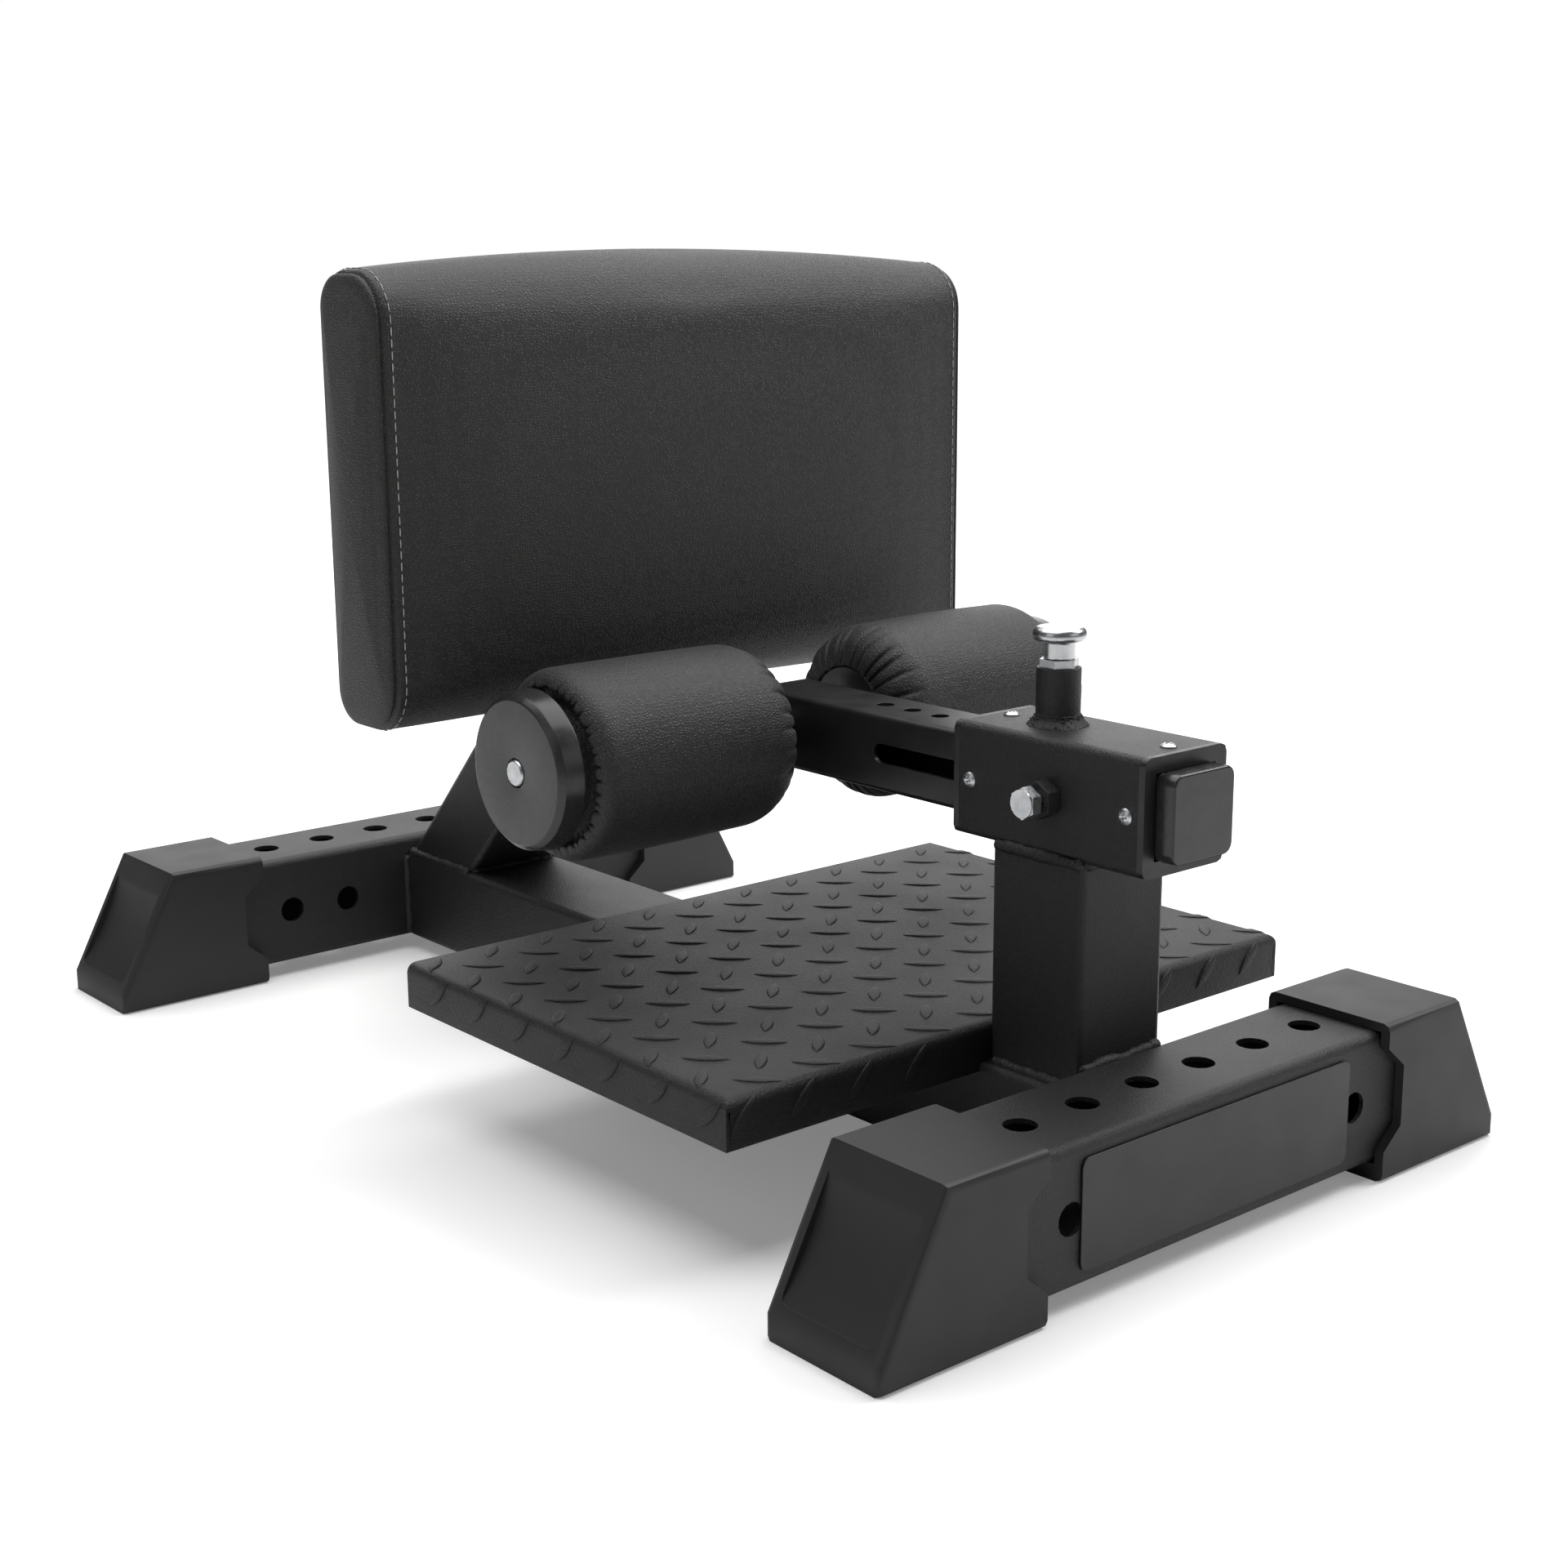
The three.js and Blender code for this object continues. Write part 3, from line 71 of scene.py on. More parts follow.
studio = {
    "backdrop": "#ffffff",  # what the camera sees past the floor
    "ambient": 0.1,
    "floor": "#f6f6f6",
    "floorSize": 40,
    "glowLight": 0.5,
    "shadowFill": 0.2,  # lifts the floor's shadows as the camera sees them
    "sweep": (1.1, 2.8),  # metres from the middle where the glow starts and is full
    # name: place, size, power in watts
    "lights": {
        "topBox": ((0.0, 0.3, 2.7), (3.4, 3.0), 82),
        "keyBox": ((2.1, -1.0, 2.4), (1.2, 1.2), 44),
        "sideBox": ((2.2, 0.9, 2.5), (1.1, 1.1), 16),
        "backBox": ((0.8, 2.0, 2.3), (2.6, 0.9), 8),
        "leftBox": ((-2.6, -0.2, 1.5), (1.4, 1.6), 5),
        "frontBox": ((1.2, -3.0, 1.6), (2.2, 1.4), 6),
        "rearBox": ((2.0, 3.0, 1.3), (4.2, 1.6), 42),
    },
    "target": (0.0, 0.0, 0.2),
}


def linear(hexColour):
    # sRGB hex to linear red, green, blue and alpha
    channels = np.array([int(hexColour[i:i + 2], 16) for i in (1, 3, 5)]) / 255
    values = np.where(channels <= 0.04045, channels / 12.92, ((channels + 0.055) / 1.055) ** 2.4)
    return (*values.tolist(), 1.0)


def addNode(tree, kind, inputs=None, stops=(), **settings):
    # one shader node; an input is a constant or the socket that feeds it, and stops fill a ramp
    node = tree.nodes.new("ShaderNode" + kind)
    for name, value in settings.items():
        setattr(node, name, value)
    for name, value in (inputs or {}).items():
        if isinstance(value, bpy.types.NodeSocket):
            tree.links.new(value, node.inputs[name])
        else:
            node.inputs[name].default_value = value
    for place, colour in stops:
        element = node.color_ramp.elements.new(place)
        element.color = linear(colour) if isinstance(colour, str) else (colour, colour, colour, 1)
    if stops:
        node.color_ramp.elements.remove(node.color_ramp.elements[0])
        node.color_ramp.elements.remove(node.color_ramp.elements[-1])
    return node


def makeCamera():
    # right, up and back are the camera's axes, from the yaw and pitch and then the roll
    yaw, pitch, roll = np.radians([cameraSetup[k] for k in ("yaw", "pitch", "roll")])
    forward = np.array([np.sin(yaw) * np.cos(pitch), np.cos(yaw) * np.cos(pitch), -np.sin(pitch)])
    level = np.array([np.cos(yaw), -np.sin(yaw), 0.0])
    above = np.cross(level, forward)
    right = level * np.cos(roll) + above * np.sin(roll)
    up = above * np.cos(roll) - level * np.sin(roll)
    data = bpy.data.cameras.new("camera")
    data.sensor_width = cameraSetup["sensor"]
    data.lens = cameraSetup["focalPixels"] * cameraSetup["sensor"] / cameraSetup["imagePixels"]
    camera = bpy.data.objects.new("camera", data)
    axes = Matrix(np.stack([right, up, -forward], 1).tolist()).to_4x4()
    camera.matrix_world = Matrix.Translation(cameraSetup["place"]) @ axes
    bpy.context.scene.collection.objects.link(camera)
    bpy.context.scene.camera = camera


def makeStudio():
    # a faint even light that the camera sees as the backdrop, and the softboxes, turned to the bench
    world = bpy.data.worlds.new("softWhite")
    world.use_nodes = True
    tree = world.node_tree
    background = tree.nodes["Background"]
    background.inputs["Color"].default_value = linear(studio["backdrop"])
    seen = addNode(tree, "LightPath").outputs["Is Camera Ray"]
    strength = addNode(tree, "MapRange", {"Value": seen, "To Min": studio["ambient"], "To Max": 1.0})
    tree.links.new(strength.outputs["Result"], background.inputs["Strength"])
    bpy.context.scene.world = world
    bpy.context.scene.view_settings.view_transform = "Standard"
    for name, (place, size, power) in studio["lights"].items():
        data = bpy.data.lights.new(name, "AREA")
        data.shape = "RECTANGLE"
        data.size, data.size_y = size
        data.energy = power
        light = bpy.data.objects.new(name, data)
        light.location = place
        light.visible_camera = False
        aim = Vector(studio["target"]) - Vector(place)
        light.rotation_euler = aim.to_track_quat("-Z", "Y").to_euler()
        bpy.context.scene.collection.objects.link(light)


makeCamera()
makeStudio()
print("camera and studio")

# Materials


def newSurface(name, colour, roughness, metallic=0.0):
    # a named material with its Principled shader, and object coordinates in metres
    material = bpy.data.materials.new(name)
    material.use_nodes = True
    tree = material.node_tree
    shader = tree.nodes["Principled BSDF"]
    shader.inputs["Base Color"].default_value = linear(colour)
    shader.inputs["Roughness"].default_value = roughness
    shader.inputs["Metallic"].default_value = metallic
    place = addNode(tree, "TexCoord").outputs["Object"]
    return material, tree, shader, place


surfaceSockets = {"bump": "Normal", "tint": "Base Color", "gloss": "Roughness"}
rampEnds = (0.3, 0.7)  # a noise seldom leaves these


def layeredSurface(name, colour, roughness, metallic=0.0, **layers):
    # A surface whose bump, tint and gloss each follow a noise of their own. A layer gives the noise's
    # size in millimetres, its detail and its roughness, and then the bump's depth in millimetres or
    # the two colours or roughnesses that the noise varies between.
    material, tree, shader, place = newSurface(name, colour, roughness, metallic)
    for layer, (size, detail, mottle, *ends) in layers.items():
        spots = {"Vector": place, "Scale": 1 / (size * mm), "Detail": detail, "Roughness": mottle}
        pattern = addNode(tree, "TexNoise", spots).outputs["Fac"]
        if layer == "bump":
            raised = {"Height": pattern, "Distance": ends[0] * mm, "Strength": 1.0}
            result = addNode(tree, "Bump", raised).outputs["Normal"]
        else:
            result = addNode(tree, "ValToRGB", {"Fac": pattern}, zip(rampEnds, ends)).outputs["Color"]
        tree.links.new(result, shader.inputs[surfaceSockets[layer]])
    return material


coat = {"low": "#0f0f10", "high": "#1b1b1c", "grain": 1.3, "depth": 0.8, "roughness": 0.42}
# painted shade: the plate's colours are darker than the tubes' coat, which is the same
plateCoat = {"low": "#0b0b0c", "high": "#171718", "grain": 1.5, "depth": 0.9, "roughness": 0.48}


def powderCoatSteel(name="powderCoatSteel", values=coat):
    # Steel tube with a textured polyester powder coat. Its grain, about 1 mm in the real coat and
    # drawn at 1.3 mm so that it shows, breaks the highlights into a soft sparkle.
    low, high, grain, depth, roughness = values.values()
    return layeredSurface(
        name, low, roughness, bump=(grain, 3.0, 0.65, depth), tint=(grain / 2, 2.0, 0.6, low, high),
        gloss=(60, 2.0, 0.5, roughness, roughness + 0.06))


def checkerPlateCoat():
    # The same coat on pressed plate, a little coarser and duller, and painted darker than on the tubes as
    # shade, so that the lugs stand out
    return powderCoatSteel("checkerPlateCoat", plateCoat)


def satinPaintedSteel():
    # Smooth satin lacquer on the arm and the name plate: long clean highlights, faint orange peel
    return layeredSurface(
        "satinPaintedSteel", "#161617", 0.36, bump=(4.5, 2.0, 0.5, 0.05),
        tint=(45, 2.0, 0.5, "#141415", "#1a1a1b"), gloss=(20, 2.0, 0.5, 0.33, 0.41))


def mouldedRubber():
    # Moulded boot rubber: even charcoal with a fine spark-eroded grain and soft edge highlights
    return layeredSurface(
        "mouldedRubber", "#202022", 0.53, bump=(1.0, 3.0, 0.6, 0.04),
        tint=(90, 2.0, 0.5, "#202022", "#242425"), gloss=(30, 2.0, 0.5, 0.5, 0.56))


leather = {
    "low": "#181817",
    "high": "#2c2c2a",
    "pebble": 1.9,  # millimetres across
    "jitter": 0.8,
    "dome": 0.42,  # share of the way to a pebble's middle where its dome is full
    "height": 0.24,
    "drift": 6,  # millimetres over which the rows of pebbles wander
    "driftReach": 2,
    "slack": 14,  # millimetres across the cover's soft unevenness
    "slackHeight": 0.5,
    "slackStrength": 0.5,
    "cloud": 70,  # millimetres over which the tint drifts
    # painted shade: this share of the tint darkens the creases between the domes
    "domeShare": 0.7,  # of the tint, the rest follows the drift
    "roughness": (0.56, 0.49),  # in the creases and on the domes
    "sheen": 0.06,
}


def pebbledLeather():
    # Synthetic leather embossed with small round pebbles, 1.5 mm in the real one and drawn at 1.9 mm
    # so that they show. The creases between them are painted darker, as shade, and the domes a little
    # glossier.
    material, tree, shader, place = newSurface("pebbledLeather", leather["low"], leather["roughness"][0])
    bend = addNode(tree, "TexNoise", {"Vector": place, "Scale": 1 / (leather["drift"] * mm), "Detail": 1.0})
    middle = (0.5, 0.5, 0.5)  # of the noise's colours
    shift = addNode(tree, "VectorMath", {0: bend.outputs["Color"], 1: middle}, operation="SUBTRACT")
    reach = {0: shift.outputs[0], "Scale": leather["driftReach"] * mm}
    moved = addNode(tree, "VectorMath", reach, operation="SCALE")
    bent = addNode(tree, "VectorMath", {0: place, 1: moved.outputs[0]}, operation="ADD").outputs[0]
    grid = {"Vector": bent, "Scale": 1 / (leather["pebble"] * mm), "Randomness": leather["jitter"]}
    cells = addNode(tree, "TexVoronoi", grid, feature="DISTANCE_TO_EDGE").outputs["Distance"]
    domes = addNode(tree, "ValToRGB", {"Fac": cells}, stops=[(0.0, 0.0), (leather["dome"], 1.0)])
    domes.color_ramp.interpolation = "EASE"
    dome = domes.outputs["Color"]
    slack = {"Vector": place, "Scale": 1 / (leather["slack"] * mm)}
    uneven = addNode(tree, "TexNoise", slack).outputs["Fac"]
    height, strength = leather["slackHeight"] * mm, leather["slackStrength"]
    raised = {"Height": uneven, "Distance": height, "Strength": strength}
    soft = addNode(tree, "Bump", raised).outputs["Normal"]
    raised = {"Height": dome, "Distance": leather["height"] * mm, "Strength": 1.0, "Normal": soft}
    pebbled = addNode(tree, "Bump", raised).outputs["Normal"]
    drift = {"Vector": place, "Scale": 1 / (leather["cloud"] * mm)}
    cloud = addNode(tree, "TexNoise", drift).outputs["Fac"]
    # painted shade: the domes pull the tint towards the dark colour in the creases, mixed with a random
    # drift
    tint = addNode(tree, "Mix", {"Factor": leather["domeShare"], "A": cloud, "B": dome}).outputs["Result"]
    colours = zip(rampEnds, (leather["low"], leather["high"]))
    colour = addNode(tree, "ValToRGB", {"Fac": tint}, colours).outputs["Color"]
    gloss = addNode(tree, "ValToRGB", {"Fac": dome}, zip(rampEnds, leather["roughness"])).outputs["Color"]
    tree.links.new(pebbled, shader.inputs["Normal"])
    tree.links.new(colour, shader.inputs["Base Color"])
    tree.links.new(gloss, shader.inputs["Roughness"])
    shader.inputs["Sheen Weight"].default_value = leather["sheen"]
    return material


def mouldedNylon(name, low, high, roughness=0.4):
    # Injection-moulded nylon for caps, plugs and liners: fine even grain, soft sheen
    return layeredSurface(
        name, low, roughness, bump=(0.9, 2.0, 0.5, 0.006), tint=(30, 2.0, 0.5, low, high),
        gloss=(8, 2.0, 0.5, roughness - 0.04, roughness + 0.05))


def zincPlatedSteel():
    # Bright zinc-plated steel for fasteners and axle: slightly cloudy, with a faint grain
    return layeredSurface(
        "zincPlatedSteel", "#c4c6c9", 0.3, 1.0, bump=(0.8, 3.0, 0.5, 0.02),
        tint=(6, 3.0, 0.5, "#b4b7bb", "#d2d3d4"), gloss=(3, 3.0, 0.5, 0.24, 0.4))


def polishedChrome():
    # Soft bright chrome plate on the pull knob: hazy reflections
    return layeredSurface("polishedChrome", "#c2c3c5", 0.28, 1.0, gloss=(7, 3.0, 0.5, 0.24, 0.32))


board = {
    "low": "#8f7149",
    "high": "#b89a6e",
    "grain": 2.5,  # millimetres across
    "stretch": 0.06,  # of the pattern along the grain
    "height": 0.08,
    "strength": 0.6,
}


def birchPlywood():
    # Birch plywood board: long pale grain along X, a little figure, dry matt face
    material, tree, shader, place = newSurface("birchPlywood", "#a88a5f", 0.75)
    drawn = {"Vector": place, "Scale": (board["stretch"], 1.0, 1.0)}
    along = addNode(tree, "Mapping", drawn).outputs["Vector"]
    streaks = {"Vector": along, "Scale": 1 / (board["grain"] * mm), "Detail": 4.0, "Roughness": 0.65}
    grain = addNode(tree, "TexNoise", streaks).outputs["Fac"]
    colours = zip(rampEnds, (board["low"], board["high"]))
    colour = addNode(tree, "ValToRGB", {"Fac": grain}, colours).outputs["Color"]
    raised = {"Height": grain, "Distance": board["height"] * mm, "Strength": board["strength"]}
    tree.links.new(colour, shader.inputs["Base Color"])
    tree.links.new(addNode(tree, "Bump", raised).outputs["Normal"], shader.inputs["Normal"])
    return material


def polyesterThread():
    # Bonded polyester sewing thread, pale grey with a slight sheen
    return layeredSurface("polyesterThread", "#a5a5a3", 0.55, tint=(1.2, 2.0, 0.5, "#8f8f8d", "#b4b4b2"))


def studioFloor():
    # Matt white paper floor that glows: past a couple of metres its painted glow turns it white, so that
    # it meets the backdrop without a horizon, and that glow also lights the bench and gives the tops their
    # grazing highlights. Everywhere, the camera sees a little painted light on it that lifts its shadows.
    material, tree, shader, place = newSurface("paperSweep", studio["floor"], 0.9)
    away = addNode(tree, "VectorMath", {0: place}, operation="LENGTH").outputs["Value"]
    near, far = studio["sweep"]
    span = {"Value": away, "From Min": near, "From Max": far}
    glow = addNode(tree, "MapRange", span, interpolation_type="SMOOTHSTEP")
    keep = addNode(tree, "Math", {0: 1.0, 1: glow.outputs["Result"]}, operation="SUBTRACT").outputs[0]
    paper = addNode(tree, "Mix", {"Factor": keep, "B": linear(studio["floor"])}, data_type="RGBA")
    tree.links.new(paper.outputs[2], shader.inputs["Base Color"])
    shader.inputs["Emission Color"].default_value = linear(studio["backdrop"])
    seen = addNode(tree, "LightPath").outputs["Is Camera Ray"]
    # the glow's light on the bench is weaker than the white that the camera sees
    share = addNode(tree, "MapRange", {"Value": seen, "To Min": studio["glowLight"], "To Max": 1.0})
    both = {0: glow.outputs["Result"], 1: share.outputs["Result"]}
    lit = addNode(tree, "Math", both, operation="MULTIPLY").outputs[0]
    # painted light: for the camera a faint glow all over the floor lifts its shadows
    fill = addNode(tree, "Math", {0: seen, 1: studio["shadowFill"], 2: lit}, operation="MULTIPLY_ADD")
    tree.links.new(fill.outputs[0], shader.inputs["Emission Strength"])
    return material


finishes = {
    "powder_coat": powderCoatSteel(),
    "satin_black": satinPaintedSteel(),
    "checker_steel": checkerPlateCoat(),
    "boot_rubber": mouldedRubber(),
    "leather": pebbledLeather(),
    "grey_plastic": mouldedNylon("mouldedGreyNylon", "#242426", "#2b2b2d", 0.27),
    "black_plastic": mouldedNylon("mouldedBlackNylon", "#161617", "#1c1c1e", 0.4),
    "zinc_steel": zincPlatedSteel(),
    "chrome": polishedChrome(),
    "plywood": birchPlywood(),
}
thread = polyesterThread()
print("materials:", len(bpy.data.materials))

# Mesh makers


def gridFaces(rows, columns, wrapRows=False, wrapColumns=False):
    # quads between the neighbours of a grid of points; a wrapped direction closes on itself
    r = np.arange(rows if wrapRows else rows - 1)[:, None]
    c = np.arange(columns if wrapColumns else columns - 1)[None, :]
    nextR, nextC = (r + 1) % rows, (c + 1) % columns
    here, ahead = r * columns, nextR * columns
    return np.stack([here + c, here + nextC, ahead + nextC, ahead + c], -1).reshape(-1, 4)


def tubeFaces(count, rows, columns):
    # the faces of a number of tubes of the same grid, one tube's points after another's
    one = gridFaces(rows, columns, wrapColumns=True)
    first = np.arange(count) * rows * columns
    return (one[None] + first[:, None, None]).reshape(-1, 4)


def fullTurn(count):
    # even angles round a circle
    return np.linspace(0, 2 * np.pi, count, endpoint=False)


def addModifier(piece, name, kind, **settings):
    # one modifier with its settings
    modifier = piece.modifiers.new(name, kind)
    for setting, value in settings.items():
        setattr(modifier, setting, value)
    return modifier


def makePiece(name, points, faces, material, body, replaced=(), merge=1e-6):
    # a mesh of points in metres at the origin, its doubles merged and its faces turned outwards
    mesh = bpy.data.meshes.new(name)
    mesh.from_pydata(np.asarray(points, float).reshape(-1, 3), [], faces)
    work = bmesh.new()
    work.from_mesh(mesh)
    bmesh.ops.remove_doubles(work, verts=work.verts, dist=merge)
    bmesh.ops.dissolve_degenerate(work, edges=work.edges, dist=1e-7)
    bmesh.ops.recalc_face_normals(work, faces=work.faces)
    work.to_mesh(mesh)
    work.free()
    mesh.shade_smooth()
    mesh.materials.append(material)
    piece = bpy.data.objects.new(name, mesh)
    bpy.context.scene.collection.objects.link(piece)
    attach(piece, body)
    if replaced:
        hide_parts(*replaced)
    return piece


def roundedLine(corners, steps=5):
    # a line through corners (x, y, radius): each corner is an arc that touches both its straights
    corners = np.array(corners, float)
    line = [corners[:1, :2]]
    for before, corner, after in zip(corners[:-2], corners[1:-1], corners[2:]):
        radius = corner[2]
        toBefore = (before[:2] - corner[:2]) / np.linalg.norm(before[:2] - corner[:2])
        toAfter = (after[:2] - corner[:2]) / np.linalg.norm(after[:2] - corner[:2])
        half = np.arccos(np.clip(toBefore @ toAfter, -1, 1)) / 2
        if radius == 0 or half > 1.55:
            line.append(corner[None, :2])
            continue
        middle = (toBefore + toAfter) / np.linalg.norm(toBefore + toAfter)
        centre = corner[:2] + middle * radius / np.sin(half)
        start = corner[:2] + toBefore * radius / np.tan(half) - centre
        end = corner[:2] + toAfter * radius / np.tan(half) - centre
        turn = np.pi - 2 * half
        share = np.linspace(0, 1, steps + 1)[:, None]
        swept = start * np.sin((1 - share) * turn) + end * np.sin(share * turn)
        line.append(centre + swept / np.sin(turn))
    line.append(corners[-1:, :2])
    return np.concatenate(line)


def turnedPoints(line, centre, axis, sides=96):
    # point = centre + along * axis + radius * (cos, sin) across it, for a line of (radius, along)
    angle = fullTurn(sides)[:, None]
    radius, along = line[None, :, 0], line[None, :, 1]
    across, rise = radius * np.cos(angle), radius * np.sin(angle)
    along = along + 0 * angle
    stack = {"x": (along, across, rise), "z": (across, rise, along)}[axis]
    return (np.stack(stack, -1) * mm + np.array(centre)).reshape(-1, 3)


def turnedPiece(name, corners, centre, axis, material, body, replaced=(), sides=96, closed=False):
    # a line through rounded corners (radius, along, bend), turned round an axis
    line = roundedLine(corners)
    points = turnedPoints(line, centre, axis, sides)
    faces = gridFaces(sides, len(line), wrapRows=True, wrapColumns=closed)
    return makePiece(name, points, faces, material, body, replaced)


def boxOf(name):
    # a node's low corner, high corner and middle, as arrays
    low, high = (np.array(corner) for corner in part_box(name))
    return low, high, (low + high) / 2


# Treadplate: one flat sheet folded down at the front and the sides, with its lugs

tread = {
    "lip": 30,
    "sheet": 3,
    "seam": 0.4,
    "bend": 6.5,  # outer radius of the bends
    "notchHalfWidth": 44.3,  # over the rail
    "notchTop": 24.3,  # below the plate's top
    "bendSteps": 7,
    "gridLines": (90, 140, 190),  # from the middle
    "gridRows": 12,
    "flatEdge": 8,  # from the last grid line to the bend
    "mitreSteps": 4,
    "lipStart": 0.5,  # first row of the front lip, below its bend
    "cutRadius": 0.4,
    "cutAngle": 60,  # sharper edges than this are rounded
    "lugLength": 29,
    "lugWidth": 8,
    "lugHeight": 1.8,  # of the solid's lugs
    "lugRise": 1.15,
    "lugRoot": 0.6,
    "lugRings": 9,
    "lugSides": 14,
    "lugMargin": 5,  # from a cut edge to a lug's middle
    "lugTrim": 0.3,
    "plainCorner": 12,  # no lug has its middle this close to a corner or the notch
    "pitch": (44, 47),
    "first": (14, 15),  # a lug's place from the middle and from the front edge
}


def treadSizes():
    # In millimetres: half the width and the depth over the folds, the sheet's front face and top, and
    # the length of sheet from the start of a bend to a lip's edge.
    low, high, _ = boxOf("tread_plate")
    lug = tread["lugHeight"]
    halfWidth, depth = (high[0] - low[0]) / 2 / mm - lug, (high[1] - low[1]) / mm - lug
    fold = tread["bend"] * np.pi / 2 + tread["lip"] - tread["bend"]
    return halfWidth, depth, low[1] / mm + lug, high[2] / mm - lug, fold


def foldTread(across, back, lift):
    # Folds sheet coordinates in millimetres: past the start of a bend, a point follows an arc of the
    # bend's radius and then goes straight down; lift is its height along the sheet's normal.
    halfWidth, _, frontY, topZ, _ = treadSizes()
    radius = tread["bend"]
    quarter = radius * np.pi / 2
    overX = np.clip(np.abs(across) - (halfWidth - radius), 0, None)
    overY = np.clip(radius - back, 0, None)
    turnX, turnY = np.clip(overX / radius, 0, np.pi / 2), np.clip(overY / radius, 0, np.pi / 2)
    x = np.sign(across) * (np.minimum(np.abs(across), halfWidth - radius) + radius * np.sin(turnX))
    y = np.maximum(back, radius) - radius * np.sin(turnY)
    drop = radius * (2 - np.cos(turnX) - np.cos(turnY)) + np.clip(overX - quarter, 0, None)
    drop = drop + np.clip(overY - quarter, 0, None)
    normal = np.stack([
        np.sign(across) * np.sin(turnX), -np.sin(turnY), np.cos(turnX) * np.cos(turnY),
    ], -1)
    normal /= np.linalg.norm(normal, axis=-1, keepdims=True)
    return (np.stack([x, y + frontY, topZ - drop], -1) + lift[..., None] * normal) * mm


def treadCorners(edge, sideDrop, notchDrop):
    # The bends run on to a mitre: at the turn t both reach r sin(t) into the corner. Below it the
    # side lip ends at the front, and the front lip stops inside the side lip's sheet.
    _, _, frontY, topZ, fold = treadSizes()
    bend = tread["bend"]
    turn = np.linspace(0, np.pi / 2, tread["bendSteps"])
    curve, fall = bend * np.sin(turn), bend * (1 - np.cos(turn))
    below = np.full(len(sideDrop), bend)
    frontDrop = bend + np.array([tread["lipStart"], notchDrop, fold - bend * np.pi / 2])
    sideReach = np.concatenate([curve, below])[:, None]
    frontReach = np.concatenate([curve, below - tread["sheet"] - tread["seam"]])[:, None]
    sideFall = np.concatenate([fall, bend + sideDrop])[:, None]
    frontFall = np.concatenate([fall, frontDrop])[:, None]
    v = np.linspace(0, 1, tread["mitreSteps"])[None, :]
    even = 0 * v
    patches = []
    for side in (-1, 1):
        sideX = side * (edge + sideReach + even)
        patches.append(np.stack([sideX, frontY + bend - v * sideReach, topZ - sideFall + even], -1))
        frontX = side * (edge + v * frontReach)
        patches.append(np.stack([frontX, frontY + bend - sideReach + even, topZ - frontFall + even], -1))
    return patches


def treadSheet():
    # a grid on the flat sheet, cut out at the corners and over the rail, then folded
    halfWidth, depth, _, _, fold = treadSizes()
    bend, quarter = tread["bend"], tread["bend"] * np.pi / 2
    edge = halfWidth - bend
    notchFold = quarter + tread["notchTop"] - bend
    bendX = edge + np.linspace(0, quarter, tread["bendSteps"])
    lipX = np.linspace(edge + quarter, edge + fold, tread["mitreSteps"])[1:]
    innerX = np.array([0, tread["notchHalfWidth"], *tread["gridLines"]])
    halfX = np.concatenate([innerX, [edge - tread["flatEdge"]], bendX, lipX])
    across = np.concatenate([-halfX[:0:-1], halfX])
    bendY = bend - np.linspace(0, quarter, tread["bendSteps"])
    lipY = np.array([bend - notchFold, bend - fold])
    flatY = np.linspace(bend, depth, tread["gridRows"])[1:]
    back = np.concatenate([lipY[::-1], bendY[::-1], flatY])
    gridX, gridY = np.meshgrid(across, back, indexing="ij")
    points = foldTread(gridX, gridY, 0 * gridX)
    faces = gridFaces(len(across), len(back))
    middleX = gridX.ravel()[faces].mean(1)
    middleY = gridY.ravel()[faces].mean(1)
    corner = (np.abs(middleX) > edge) & (middleY < bend)
    notch = (np.abs(middleX) < tread["notchHalfWidth"]) & (middleY < bend - notchFold)
    allPoints, allFaces = [points.reshape(-1, 3)], [faces[~(corner | notch)]]
    for patch in treadCorners(edge, lipX - edge - quarter, notchFold - quarter):
        allFaces.append(gridFaces(*patch.shape[:2]) + sum(len(part) for part in allPoints))
        allPoints.append(patch.reshape(-1, 3) * mm)
    points, faces = np.concatenate(allPoints), np.concatenate(allFaces)
    coated = finishes["checker_steel"]
    piece = makePiece("treadSheet", points, faces, coated, "base", ["tread_plate"], merge=1e-5)
    addModifier(piece, "sheetThickness", "SOLIDIFY", thickness=tread["sheet"] * mm, offset=-1)
    addModifier(
        piece, "cutEdges", "BEVEL", width=tread["cutRadius"] * mm, segments=2, limit_method="ANGLE",
        angle_limit=np.radians(tread["cutAngle"]))


